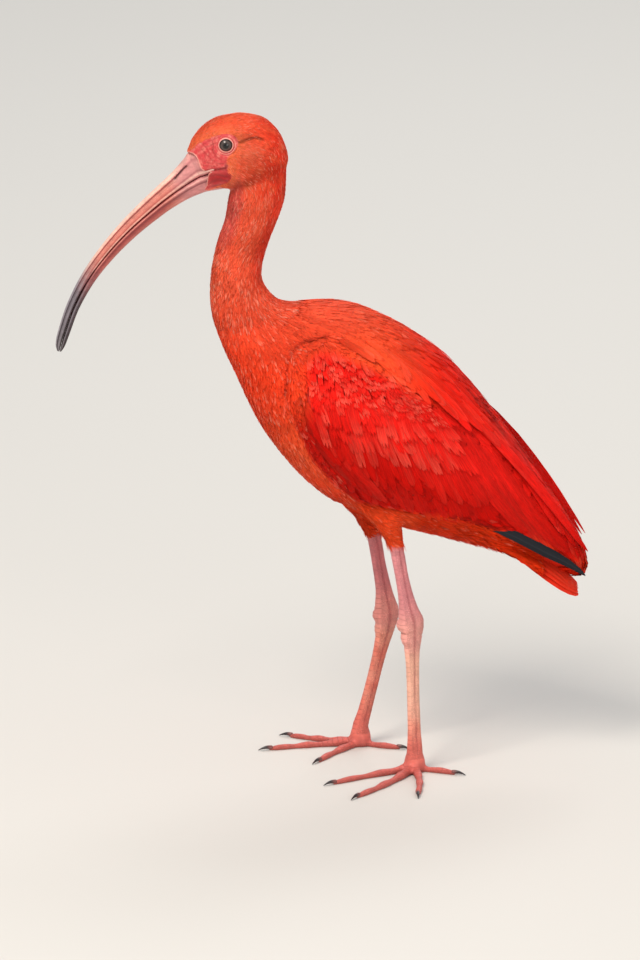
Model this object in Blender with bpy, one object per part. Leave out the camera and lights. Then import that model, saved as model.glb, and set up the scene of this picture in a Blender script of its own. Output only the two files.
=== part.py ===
"""A life-size scarlet ibis, standing with its wings folded.

The bird faces -X, with its left side towards -Y and its soles on Z = 0. Sizes are in millimetres until
the last step, and angles in degrees. One loft runs down the neck and along the back to the wing tips. It
is parted into the lengths of the neck, the trunk and the folded wings with thin gaps, so that neighbours
follow each other closely.
"""

import math
from collections import namedtuple

import bmesh
import bpy
from mathutils import Matrix, Vector

MM = 0.001
GAP = 0.32  # between neighbouring solids
BODY_SIDES = 24  # points round each ring of the body's loft
SIDES = {"left": -1, "right": 1}

# Driving sizes of the bird
EYE_RADIUS = 5.4
EYE_PLACE = (-59.3, 408.0)  # x and z of both eyes
EYE_SPREAD = 13.4  # from the middle plane to the centre of an eyeball
STANCE = 27.0  # from the middle plane to each foot
TOE_FLAT = 0.0  # height of the level that every toe rests on

# One cross-section of a lofted form. x and z place its centre, and pitch is how far the form's axis dips
# below +X there. up and down reach to the back and to the belly side, half_width to each flank. corner is
# the power of the superellipse, 2 for a plain ellipse, and droop lowers the flanks.
Section = namedtuple("Section", "x z pitch up down half_width corner droop", defaults=(2.0, 0.0))

HEAD = [
    Section(-77.2, 386.4, -25.7, 14.0, 13.8, 7.6),
    Section(-73.5, 392.0, -18.4, 18.8, 18.8, 11.0, 2.1),
    Section(-66.3, 397.3, -8.3, 22.7, 22.7, 14.8, 2.1),
    Section(-57.5, 399.1, -3.4, 24.6, 24.8, 17.2, 2.1),
    Section(-47.0, 399.5, 0, 25.2, 25.8, 18.6),
    Section(-37.0, 397.9, 7.2, 23.4, 23.8, 18.0),
    Section(-29.2, 395.0, 12, 17.2, 17.2, 14.2),
    Section(-23.4, 392.2, 15, 8.6, 8.6, 8.0),
    Section(-21.4, 391.4, 15, 3.6, 3.6, 3.6),
]

# From inside the head, down the neck and along the back to the wing tips
BODY = [
    Section(-40.6, 391.0, 93, 19.6, 14.0, 12.0),
    Section(-40.0, 371.0, 98, 18.0, 18.0, 15.0),
    Section(-44.8, 351.4, 106, 15.8, 16.2, 13.8),
    Section(-49.2, 339.6, 105, 16.0, 15.8, 13.4),
    Section(-52.4, 326.0, 99, 16.0, 15.8, 13.8),
    Section(-52.6, 313.8, 88, 16.6, 17.2, 14.8),
    Section(-49.2, 301.0, 74, 18.8, 20.8, 17.2),
    Section(-42.6, 289.5, 62, 22.2, 24.8, 21.0),
    Section(-28.4, 274.4, 49, 35.6, 33.6, 31.0, 2.1),
    Section(-5.6, 254.4, 37, 50.4, 48.4, 44.0, 2.1),
    Section(22.3, 233.4, 31, 57.8, 58.0, 52.0, 2.15),
    Section(51.3, 212.3, 31, 57.2, 56.6, 51.5, 2.15),
    Section(84.1, 190.4, 31, 45.2, 46.6, 42.0, 2.2),
    Section(112.6, 169.8, 34, 32.2, 32.4, 29.5, 2.3),
    Section(135.4, 151.6, 40, 23.2, 23.2, 20.0, 2.3),
    Section(152.6, 136.2, 48, 15.4, 15.6, 12.0, 2.2),
    Section(164.0, 124.6, 52, 4.6, 5.0, 5.0),
]

# The closed bill. Its centre runs along the line between the mandibles, and pitch is its dip ahead.
BILL = [
    Section(-66.0, 389.4, 22, 14.6, 14.8, 8.6),
    Section(-78.7, 382.7, 32, 13.4, 11.4, 7.3),
    Section(-87.4, 376.8, 35.5, 10.3, 9.4, 6.6),
    Section(-95.8, 370.4, 38, 8.8, 8.2, 6.0),
    Section(-103.8, 363.7, 40.5, 8.0, 7.4, 5.5),
    Section(-119.2, 349.5, 45.5, 6.7, 6.3, 4.9),
    Section(-133.2, 333.9, 51, 5.7, 5.3, 4.3),
    Section(-145.2, 317.2, 58.5, 5.0, 4.4, 3.8),
    Section(-154.8, 298.4, 67, 4.6, 3.6, 3.3),
    Section(-160.9, 280.7, 75, 4.2, 3.2, 3.0),
    Section(-163.2, 272.6, 78, 3.4, 2.5, 2.4),
    Section(-164.2, 268.6, 79, 1.5, 1.1, 1.2),
]
# How deep the wing's inner face lies in the body's form, at the sections from WING_FROM on
WING_FROM = 8
WING_DEPTHS = [1.6, 3.0, 4.2, 5.0, 5.2, 5.0]

# Outline of a folded wing seen from the side, as x and z of a smooth closed curve
WING_OUTLINE = [
    (-20.8, 250.0),
    (-18.8, 263.0),
    (-11.6, 276.0),
    (4.0, 286.0),
    (24.0, 287.8),
    (46.0, 283.6),
    (92.0, 268.0),
    (150.0, 220.0),
    (188.0, 134.0),
    (165.0, 131.0),
    (153.5, 139.2),
    (138.0, 150.2),
    (120.0, 157.4),
    (100.0, 163.8),
    (76.0, 171.4),
    (48.0, 176.8),
    (24.0, 181.2),
    (8.0, 193.4),
    (-6.4, 211.4),
    (-16.0, 231.6),
]

# Planes across the body, as x, z and pitch: between the neck's lengths, and where the trunk stops
NECK_CUTS = [(-48.6, 341.0, 103.0), (-52.2, 313.0, 88.0), (-43.6, 289.5, 61.0)]
TRUNK_END = (99.0, 150.0, 30.0)

TAIL = [
    Section(66.0, 162.0, 14, 8.0, 6.4, 14.0, 2.2, 0.0),
    Section(84.0, 157.6, 19, 7.6, 6.6, 17.0, 2.2, 0.6),
    Section(104.0, 150.0, 24, 6.0, 5.0, 20.0, 2.2, 1.2),
    Section(124.0, 140.6, 28, 4.2, 3.6, 22.0, 2.2, 1.8),
    Section(141.0, 130.4, 33, 2.9, 2.6, 22.4, 2.3, 2.2),
    Section(153.0, 121.0, 38, 2.1, 2.0, 20.0, 2.4, 2.0),
    Section(159.6, 115.2, 40, 1.5, 1.4, 14.6, 2.4, 1.2),
    Section(162.8, 112.4, 41, 0.8, 0.8, 7.0, 2.0, 0.4),
]

# The black-tipped flight feathers show under the wing's lower edge. y is their distance from the middle.
Quill = namedtuple("Quill", "x z y pitch up down half_width")
PRIMARIES = [
    Quill(98.0, 161.0, 26.0, 14, 3.0, 1.6, 1.5),
    Quill(110.0, 157.2, 24.0, 22, 4.2, 3.0, 1.5),
    Quill(124.0, 150.0, 20.4, 27, 5.0, 4.4, 1.4),
    Quill(140.0, 140.4, 15.2, 30, 5.0, 4.4, 1.2),
    Quill(154.0, 131.6, 10.2, 31, 3.6, 3.6, 1.0),
    Quill(162.0, 126.8, 7.6, 31, 2.2, 2.2, 0.8),
    Quill(166.0, 124.2, 6.2, 31, 0.8, 0.8, 0.6),
]

# One leg as stations down its length. x, z and y place the centre, front and back are the reaches fore
# and aft, and half_width is the reach to each side.
Station = namedtuple("Station", "x z y pitch front back half_width")
THIGH = {
    "left": [
        Station(27.0, 196.0, 22.0, 62, 22.0, 20.0, 15.0),
        Station(35.0, 180.0, 24.0, 64, 16.6, 15.2, 12.4),
        Station(41.4, 167.0, 25.6, 70, 11.0, 10.6, 9.4),
        Station(45.2, 156.6, 26.4, 74, 7.6, 7.4, 7.0),
        Station(47.6, 148.0, 26.8, 78, 5.5, 5.4, 5.4),
        Station(48.3, 144.6, 27.0, 79, 4.9, 4.8, 4.8),
    ],
    "right": [
        Station(18.0, 186.0, 22.0, 58, 20.0, 19.0, 14.6),
        Station(24.4, 168.0, 24.0, 62, 14.6, 13.4, 11.8),
        Station(29.2, 155.0, 25.6, 68, 9.6, 9.2, 8.6),
        Station(32.2, 146.0, 26.4, 74, 6.6, 6.4, 6.4),
        Station(33.6, 139.6, 26.8, 78, 5.3, 5.2, 5.2),
        Station(34.2, 136.6, 27.0, 79, 4.8, 4.7, 4.7),
    ],
}
LEG = {
    "left": [
        Station(47.3, 149.0, 27.0, 79, 3.9, 3.9, 3.5),
        Station(48.6, 143.0, 27.0, 80, 4.4, 4.4, 3.8),
        Station(51.0, 129.0, 27.0, 80, 4.2, 4.3, 3.6),
        Station(53.4, 115.0, 27.0, 81, 4.6, 5.4, 3.9),
        Station(55.8, 102.6, 27.0, 86, 6.8, 7.4, 5.4),
        Station(56.6, 96.0, 27.0, 89, 7.6, 8.2, 6.2),
        Station(57.0, 88.0, 27.0, 90, 6.0, 6.8, 5.6),
        Station(57.4, 79.0, 27.0, 90, 4.6, 5.2, 4.2),
        Station(57.9, 66.0, 27.0, 89, 4.0, 4.4, 3.4),
        Station(58.4, 46.0, 27.0, 89, 3.9, 4.2, 3.2),
        Station(59.0, 26.0, 27.0, 88, 4.1, 4.4, 3.3),
        Station(59.4, 15.0, 27.0, 90, 5.0, 5.0, 4.2),
        Station(59.4, 9.0, 27.0, 90, 5.6, 5.4, 5.2),
    ],
    "right": [
        Station(33.0, 141.0, 27.0, 80, 3.9, 3.9, 3.5),
        Station(34.4, 135.0, 27.0, 80, 4.4, 4.4, 3.8),
        Station(36.8, 120.0, 27.0, 80, 4.3, 4.5, 3.6),
        Station(39.4, 104.0, 27.0, 83, 4.8, 5.6, 4.0),
        Station(41.0, 92.6, 27.0, 88, 6.8, 7.4, 5.4),
        Station(41.2, 86.0, 27.0, 93, 7.6, 8.0, 6.2),
        Station(40.6, 78.6, 27.0, 97, 6.2, 6.6, 5.6),
        Station(39.0, 69.6, 27.0, 100, 4.8, 5.2, 4.2),
        Station(36.4, 58.0, 27.0, 102, 4.1, 4.4, 3.4),
        Station(32.2, 40.0, 27.0, 103, 4.0, 4.2, 3.2),
        Station(28.0, 23.0, 27.0, 102, 4.3, 4.4, 3.3),
        Station(25.4, 13.6, 27.0, 98, 5.0, 5.0, 4.2),
        Station(24.6, 9.0, 27.0, 92, 5.6, 5.4, 5.2),
    ],
}
ANKLE_CUT = {"left": (56.8, 92.0, 90.0), "right": (41.0, 82.0, 95.0)}
FOOT_CUT = {"left": (59.4, 12.4, 90.0), "right": (25.2, 12.4, 95.0)}

# Toes leave the foot at an angle from straight ahead, positive towards the bird's left. Lengths leave out
# the claw, and bend is how far the middle of the toe bows sideways.
Toe = namedtuple("Toe", "angle length half_width joints bend")
TOES = {
    "left": {
        "middle": Toe(57.0, 67.0, 3.1, 3, -2.0),
        "inner": Toe(29.0, 59.0, 2.9, 2, 1.5),
        "outer": Toe(92.0, 52.0, 2.9, 3, -2.0),
        "hallux": Toe(162.0, 27.0, 2.7, 1, -1.0),
    },
    "right": {
        "middle": Toe(11.0, 59.0, 3.1, 3, 1.5),
        "inner": Toe(54.0, 45.0, 2.9, 2, 1.5),
        "outer": Toe(-20.0, 48.0, 2.9, 3, -1.5),
        "hallux": Toe(160.0, 27.0, 2.7, 1, 1.0),
    },
}
CLAW_LENGTH = 9.0

COLOURS = {  # base colour, roughness
    "plumage": ((0.90, 0.06, 0.02, 1.0), 0.75),
    "face": ((0.80, 0.22, 0.22, 1.0), 0.55),
    "bill": ((0.72, 0.36, 0.34, 1.0), 0.40),
    "eye": ((0.04, 0.03, 0.03, 1.0), 0.10),
    "quill": ((0.02, 0.02, 0.04, 1.0), 0.50),
    "leg": ((0.82, 0.36, 0.33, 1.0), 0.60),
    "claw": ((0.05, 0.04, 0.04, 1.0), 0.40),
}


def clear_scene():
    for item in list(bpy.data.objects):
        bpy.data.objects.remove(item, do_unlink=True)


def material(kind):
    found = bpy.data.materials.get(kind)
    if found:
        return found
    colour, roughness = COLOURS[kind]
    made = bpy.data.materials.new(kind)
    made.use_nodes = True
    shader = made.node_tree.nodes["Principled BSDF"]
    shader.inputs["Base Color"].default_value = colour
    shader.inputs["Roughness"].default_value = roughness
    shader.inputs["Metallic"].default_value = 0.0
    return made


def new_object(name, mesh, kind=None):
    item = bpy.data.objects.new(name, mesh)
    bpy.context.scene.collection.objects.link(item)
    if kind:
        mesh.materials.clear()
        mesh.materials.append(material(kind))
        mesh.shade_smooth()
        mesh.set_sharp_from_angle(angle=math.radians(40))
    return item


def as_helper(item):
    """Keeps a cutter or a guide out of the finished bird."""
    item.hide_render = True
    item.display_type = "WIRE"
    return item


def settled_mesh(item):
    """The object's mesh with its modifiers applied."""
    bpy.context.view_layer.update()
    graph = bpy.context.evaluated_depsgraph_get()
    return bpy.data.meshes.new_from_object(item.evaluated_get(graph))


def smooth_steps(rows, per_span):
    """Rows of numbers with more rows between them, along a Catmull-Rom curve through them all."""
    steps = []
    last = len(rows) - 1
    for i in range(last):
        before, start, end, after = rows[max(i - 1, 0)], rows[i], rows[i + 1], rows[min(i + 2, last)]
        for k in range(per_span):
            t = k / per_span
            steps.append(
                [
                    b + 0.5 * t * (c - a + t * (2 * a - 5 * b + 4 * c - d + t * (3 * (b - c) + d - a)))
                    for a, b, c, d in zip(before, start, end, after)
                ]
            )
    steps.append(list(rows[-1]))
    return steps


def signed_power(value, power):
    return math.copysign(abs(value) ** power, value)


def ring(centre, side, rise, half_width, up, down, corner, droop, count):
    """Points of a superellipse round centre. side and rise are unit vectors across and up its plane."""
    points = []
    for k in range(count):
        turn = 2 * math.pi * k / count
        across = signed_power(math.cos(turn), 2 / corner)
        height = signed_power(math.sin(turn), 2 / corner)
        reach = up if height > 0 else down
        points.append(centre + side * (across * half_width) + rise * (height * reach - droop * across**2))
    return points


def skin_rings(rings, floor=None):
    """A closed mesh over rings of points, with flat ends. Nothing reaches below floor."""
    shape = bmesh.new()
    loops = []
    for points in rings:
        if floor is not None:
            points = [Vector((p.x, p.y, max(p.z, floor))) for p in points]
        loops.append([shape.verts.new(p) for p in points])
    for first, second in zip(loops, loops[1:]):
        for k in range(len(first)):
            n = (k + 1) % len(first)
            shape.faces.new((first[k], first[n], second[n], second[k]))
    shape.faces.new(loops[0][::-1])
    shape.faces.new(loops[-1])
    bmesh.ops.recalc_face_normals(shape, faces=shape.faces)
    mesh = bpy.data.meshes.new("lofted")
    shape.to_mesh(mesh)
    shape.free()
    return mesh


def loft(name, sections, count, per_span, kind=None):
    """A body of Sections, which all lie across the middle plane."""
    rings = []
    for row in smooth_steps(sections, per_span):
        s = Section(*row)
        rise = Vector((math.sin(math.radians(s.pitch)), 0, math.cos(math.radians(s.pitch))))
        centre = Vector((s.x, 0, s.z))
        rings.append(
            ring(centre, Vector((0, 1, 0)), rise, s.half_width, s.up, s.down, s.corner, s.droop, count)
        )
    return new_object(name, skin_rings(rings), kind)


def side_loft(name, stations, side, count, per_span, kind=None):
    """A limb or blade whose stations lie at a distance y to one side of the middle plane."""
    rings = []
    for row in smooth_steps(stations, per_span):
        x, z, y, pitch, up, down, half_width = row
        rise = Vector((math.sin(math.radians(pitch)), 0, math.cos(math.radians(pitch))))
        centre = Vector((x, y * SIDES[side], z))
        rings.append(ring(centre, Vector((0, 1, 0)), rise, half_width, up, down, 2.0, 0.0, count))
    return new_object(name, skin_rings(rings), kind)


def leg_loft(name, stations, side, count, per_span, kind=None):
    """As side_loft, for stations whose reaches are named front and back: back is the side that rise faces."""
    turned = [(s.x, s.z, s.y, s.pitch, s.back, s.front, s.half_width) for s in stations]
    return side_loft(name, turned, side, count, per_span, kind)


def boolean(item, other, operation):
    """Applies a Boolean to item, and hides what it was cut or joined with."""
    cut = item.modifiers.new(operation.lower(), "BOOLEAN")
    cut.operation = operation
    cut.solver = "EXACT"
    cut.object = other
    mesh = settled_mesh(item)
    item.modifiers.clear()
    item.data = mesh
    as_helper(other)


def swollen(item, amount):
    """A hidden copy of item, grown by amount all over."""
    copy = new_object(item.name + "_clearance", item.data.copy())
    grow = copy.modifiers.new("grow", "DISPLACE")
    grow.mid_level = 0.0
    grow.strength = amount
    mesh = settled_mesh(copy)
    copy.modifiers.clear()
    copy.data = mesh
    return as_helper(copy)


def keep_clear(item, *others, gap=GAP):
    """Cuts item back from the others, so that it meets them with a thin gap."""
    for other in others:
        boolean(item, swollen(other, gap), "DIFFERENCE")


def cut_away(mesh, spot, towards):
    """Takes off what lies beyond the plane through spot, on the side that towards points to."""
    shape = bmesh.new()
    shape.from_mesh(mesh)
    bmesh.ops.bisect_plane(
        shape,
        geom=shape.verts[:] + shape.edges[:] + shape.faces[:],
        dist=1e-5,
        plane_co=spot,
        plane_no=towards,
        clear_outer=True,
    )
    open_edges = [edge for edge in shape.edges if edge.is_boundary]
    bmesh.ops.holes_fill(shape, edges=open_edges, sides=0)
    bmesh.ops.triangulate(shape, faces=shape.faces)
    shape.to_mesh(mesh)
    shape.free()


def beside_plane(name, whole, plane, keep_after, offset, kind):
    """A copy of the share of whole on one side of a plane, which is square to the axis there."""
    x, z, pitch = plane
    axis = Vector((math.cos(math.radians(pitch)), 0, -math.sin(math.radians(pitch))))
    if keep_after:
        axis = -axis
    mesh = whole.data.copy()
    cut_away(mesh, Vector((x, 0, z)) - axis * offset, axis)
    return new_object(name, mesh, kind)


def part_along(whole, planes, pieces):
    """Parts whole at planes down its length into the named pieces, given as (name, kind)."""
    made = []
    rest = whole
    for plane, (name, kind) in zip(planes, pieces):
        made.append(beside_plane(name, rest, plane, False, GAP / 2, kind))
        rest = as_helper(beside_plane(name + "_rest", rest, plane, True, GAP / 2, kind))
    name, kind = pieces[-1]
    made.append(new_object(name, rest.data.copy(), kind))
    return made


def inset(section, depth):
    return section._replace(
        up=max(section.up - depth, 1.0),
        down=max(section.down - depth, 1.0),
        half_width=max(section.half_width - depth, 1.0),
    )


def offset_outline(points, amount):
    """A closed outline moved outwards, for points that run clockwise seen from -Y."""
    moved = []
    for before, (x, z), after in zip(points[-1:] + points[:-1], points, points[1:] + points[:1]):
        along = Vector((after[0] - before[0], after[1] - before[1])).normalized()
        moved.append((x - along.y * amount, z + along.x * amount))
    return moved


def wing_region(name, growth, near, far):
    """A slab of the wing's outline between two distances from the middle plane."""
    outline = smooth_steps([WING_OUTLINE[-1], *WING_OUTLINE, *WING_OUTLINE[:2]], 2)[2:-5]
    outline = offset_outline([tuple(p) for p in outline], growth)
    rings = [[Vector((x, y, z)) for x, z in outline] for y in (near, far)]
    return as_helper(new_object(name, skin_rings(rings)))


def wing_hollow(name, growth):
    """The room inside the folded wings, up to the plane where the trunk stops."""
    inner = [inset(s, depth - growth) for s, depth in zip(BODY[WING_FROM:], WING_DEPTHS)]
    whole = as_helper(loft(name + "_whole", inner, BODY_SIDES, 2))
    return as_helper(beside_plane(name, whole, TRUNK_END, False, -growth, None))


def make_wing(side, outer, hollow):
    wing = new_object("wing_" + side, outer.data.copy(), "plumage")
    near, far = GAP / 2 * SIDES[side], 90.0 * SIDES[side]
    boolean(wing, wing_region("wing_region_" + side, 0.0, near, far), "INTERSECT")
    boolean(wing, hollow, "DIFFERENCE")
    return wing


def ball(name, centre, radius, kind=None, steps=(12, 7)):
    shape = bmesh.new()
    turn = Matrix.Rotation(math.radians(90), 4, "X")
    bmesh.ops.create_uvsphere(
        shape, u_segments=steps[0], v_segments=steps[1], radius=radius, matrix=Matrix.Translation(centre) @ turn
    )
    mesh = bpy.data.meshes.new(name)
    shape.to_mesh(mesh)
    shape.free()
    return new_object(name, mesh, kind)


def half_bill(name, lower):
    """One mandible: the half of every ring of the bill above or below the line between the two."""
    rings = []
    for row in smooth_steps(BILL, 2):
        s = Section(*row)
        rise = Vector((-math.sin(math.radians(s.pitch)), 0, math.cos(math.radians(s.pitch))))
        if lower:
            rise = -rise
        centre = Vector((s.x, 0, s.z)) + rise * GAP / 2
        reach = (s.down if lower else s.up) - GAP / 2
        points = []
        for k in range(7):
            turn = math.pi * k / 6
            across = signed_power(math.cos(turn), 0.85) * s.half_width
            points.append(centre + Vector((0, across, 0)) + rise * (math.sin(turn) ** 0.9 * reach))
        rings.append(points)
    return new_object(name, skin_rings(rings), "bill")


def make_bill(head):
    for name, lower in (("bill_upper", False), ("bill_lower", True)):
        keep_clear(half_bill(name, lower), head)


def make_eyes(head):
    x, z = EYE_PLACE
    for side, sign in SIDES.items():
        centre = Vector((x, sign * EYE_SPREAD, z))
        socket = as_helper(ball("socket_" + side, centre, EYE_RADIUS + GAP))
        boolean(head, socket, "DIFFERENCE")
        ball("eye_" + side, centre, EYE_RADIUS, "eye")


def make_body(head):
    """The three lengths of the neck, the trunk and both wings. Returns the whole form they are parts of."""
    outer = as_helper(loft("body_form", BODY, BODY_SIDES, 2))
    hollow = wing_hollow("wing_hollow", 0.0)
    for side in SIDES:
        make_wing(side, outer, hollow)
    pieces = [(name, "plumage") for name in ("neck_upper", "neck_middle", "neck_lower", "trunk_form")]
    neck_upper, *_, trunk_form = part_along(outer, NECK_CUTS, pieces)
    keep_clear(neck_upper, head)
    trunk = beside_plane("trunk", as_helper(trunk_form), TRUNK_END, False, GAP, "plumage")
    around = wing_region("wing_room", GAP, -95.0, 95.0)
    boolean(around, wing_hollow("trunk_core", -GAP), "DIFFERENCE")
    boolean(trunk, around, "DIFFERENCE")
    return outer


def make_tail(outer):
    tail = loft("tail", TAIL, 14, 2, "plumage")
    wings = wing_region("wing_room_tail", GAP, -95.0, 95.0)
    trunk = as_helper(beside_plane("trunk_room", swollen(outer, GAP), TRUNK_END, False, -GAP, None))
    boolean(tail, wings, "DIFFERENCE")
    boolean(tail, trunk, "DIFFERENCE")
    for side in SIDES:
        quills = side_loft("primaries_" + side, PRIMARIES, side, 8, 2, "quill")
        boolean(quills, wings, "DIFFERENCE")
        boolean(quills, trunk, "DIFFERENCE")
        keep_clear(quills, tail)


def toe_path(toe, start):
    """Points down the middle of a toe on the ground, with the direction across it at each."""
    turn = math.radians(toe.angle)
    ahead = Vector((-math.cos(turn), -math.sin(turn), 0))
    across = Vector((ahead.y, -ahead.x, 0))
    steps = 7
    for k in range(steps + 1):
        share = k / steps
        bow = toe.bend * math.sin(math.pi * share)
        yield share, start + ahead * (toe.length * share) + across * bow, ahead, across


def make_toe(name, toe, start, neighbours, hub):
    """One toe with a flat sole and a swelling at each joint, parted from its neighbours, and its claw."""
    rings = []
    for share, place, ahead, across in toe_path(toe, start):
        swell = 1 + 0.10 * math.cos(2 * math.pi * (toe.joints + 0.5) * share) * min(1, 3 * (1 - share))
        width = toe.half_width * (1 - 0.30 * share) * swell
        height = (2.7 - 0.9 * share) * swell
        root = 5.2 * max(0.0, 1 - share / 0.34) ** 2
        tip = math.sqrt(max(1 - max((share - 0.9) / 0.1, 0) ** 2, 0.12))
        centre = place + Vector((0, 0, height + 0.55 * root - 0.45))
        up, down = (height + 0.45 * root) * tip, height + root
        rings.append(ring(centre, across, Vector((0, 0, 1)), width * tip, up, down, 2.3, 0, 8))
    solid = new_object(name, skin_rings(rings, TOE_FLAT), "leg")
    for other in neighbours:
        between = math.radians((toe.angle + other.angle) / 2)
        towards = Vector((math.sin(between), -math.cos(between), 0))
        if other.angle < toe.angle:
            towards = -towards
        cut_away(solid.data, start - towards * GAP / 2, towards)
    keep_clear(solid, hub)
    make_claw(name.replace("toe", "claw"), place, ahead, across, solid)


def make_claw(name, root, ahead, across, toe):
    rings = []
    steps = 4
    for k in range(steps + 1):
        share = k / steps
        size = 1 - 0.82 * share**1.3
        droop = 1.9 * share**2
        centre = root + ahead * (CLAW_LENGTH * share - 1.6) + Vector((0, 0, 2.5 - droop))
        rings.append(ring(centre, across, Vector((0, 0, 1)), 1.35 * size, 1.35 * size, 1.5 * size, 2.0, 0, 6))
    claw = new_object(name, skin_rings(rings, TOE_FLAT + 0.25), "claw")
    keep_clear(claw, toe)


def make_foot(side, hub):
    """Sets the toes round the hub of a foot."""
    start = Vector((FOOT_CUT[side][0], SIDES[side] * STANCE, 0))
    toes = TOES[side]
    for toe_name, toe in toes.items():
        neighbours = [other for other in toes.values() if 0 < abs(other.angle - toe.angle) < 90]
        make_toe(f"toe_{side}_{toe_name}", toe, start, neighbours, hub)


def make_hub(side, tarsus):
    """The pad where the toes meet, from the end of the tarsus down to the ground."""
    x, z, _ = FOOT_CUT[side]
    rings = []
    heights = (z - GAP, 9.6, 6.6, 3.6, 1.2, TOE_FLAT)
    reaches = (5.0, 5.9, 6.6, 6.8, 6.2, 5.0)
    for height, reach in zip(heights, reaches):
        centre = Vector((x, SIDES[side] * STANCE, height))
        rings.append(ring(centre, Vector((0, 1, 0)), Vector((1, 0, 0)), reach, reach, reach, 2.0, 0, 12))
    hub = new_object("foot_" + side, skin_rings(rings), "leg")
    keep_clear(hub, tarsus)
    return hub


def make_leg(side, outer):
    thigh = leg_loft("thigh_" + side, THIGH[side], side, 12, 2, "plumage")
    keep_clear(thigh, outer)
    whole = as_helper(leg_loft("leg_form_" + side, LEG[side], side, 10, 1))
    cuts = [ANKLE_CUT[side], FOOT_CUT[side]]
    pieces = [(part + side, "leg") for part in ("shank_", "tarsus_", "leg_end_")]
    shank, tarsus, end = part_along(whole, cuts, pieces)
    as_helper(end)
    keep_clear(shank, thigh)
    make_foot(side, make_hub(side, tarsus))


def stand_on_origin():
    """Brings every piece to metres, with the middle of the bird's box above the origin."""
    shown = [item for item in bpy.data.objects if not item.hide_render]
    points = [v.co for item in shown for v in item.data.vertices]
    middle = [(min(p[i] for p in points) + max(p[i] for p in points)) / 2 for i in (0, 1)]
    move = Matrix.Scale(MM, 4) @ Matrix.Translation((-middle[0], -middle[1], 0))
    for item in bpy.data.objects:
        item.data.transform(move)


def main():
    clear_scene()
    head = loft("head", HEAD, 20, 2, "plumage")
    outer = make_body(head)
    make_bill(head)
    make_eyes(head)
    make_tail(outer)
    for side in SIDES:
        make_leg(side, outer)
    stand_on_origin()


main()
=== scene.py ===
"""The looks of a life-size scarlet ibis: one skin, a coat of feathers over it, the bill, eyes and claws.

The work is done in millimetres in the bird's own frame: it faces -X, its middle plane is y = 0, its left
side is towards -Y and its soles are on z = 0. Every mesh is brought to metres and to the CAD's place last.
"""

import math

import bmesh
import bpy
import numpy as np
from mathutils import Matrix, Vector
from mathutils.bvhtree import BVHTree

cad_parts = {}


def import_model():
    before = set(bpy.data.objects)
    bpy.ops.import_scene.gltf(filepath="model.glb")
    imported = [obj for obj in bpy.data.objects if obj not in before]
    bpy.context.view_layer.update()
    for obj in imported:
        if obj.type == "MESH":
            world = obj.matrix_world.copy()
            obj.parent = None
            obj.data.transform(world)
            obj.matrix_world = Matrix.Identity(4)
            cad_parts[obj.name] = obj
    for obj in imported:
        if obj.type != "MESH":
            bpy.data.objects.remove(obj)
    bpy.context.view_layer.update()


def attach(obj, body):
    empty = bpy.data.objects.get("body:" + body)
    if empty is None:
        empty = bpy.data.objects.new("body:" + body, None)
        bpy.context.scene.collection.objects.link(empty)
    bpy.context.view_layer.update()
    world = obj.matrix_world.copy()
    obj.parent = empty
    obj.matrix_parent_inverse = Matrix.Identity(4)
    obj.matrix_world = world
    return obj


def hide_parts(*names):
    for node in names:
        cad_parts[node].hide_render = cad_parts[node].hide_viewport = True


# From millimetres in the bird's frame to metres in the CAD's
TO_CAD = Matrix.Scale(0.001, 4) @ Matrix.Translation((-0.34, 18.34, 0.0))
SIDES = {"left": -1, "right": 1}
STANCE = 27.0  # how far each foot stands from the middle plane
FOOT = {"left": (59.4, -STANCE), "right": (25.2, STANCE)}  # x and y
ANKLE = {"left": 94, "right": 84}  # heights
EYE = (-59.3, 408.0)  # x and z of both eyes
ACROSS = np.array((0, 1.0, 0))
UP = np.array((0, 0, 1.0))

# Where a place on the bird's side stands in the picture: 0.63 mm to a pixel, seen from 17 degrees above
PIXEL = 0.63
LEAN = math.radians(17)
MIDDLE = 320.5  # the picture's column where x is 0
GROUND = 757.5  # the picture's row where z is 0

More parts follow.
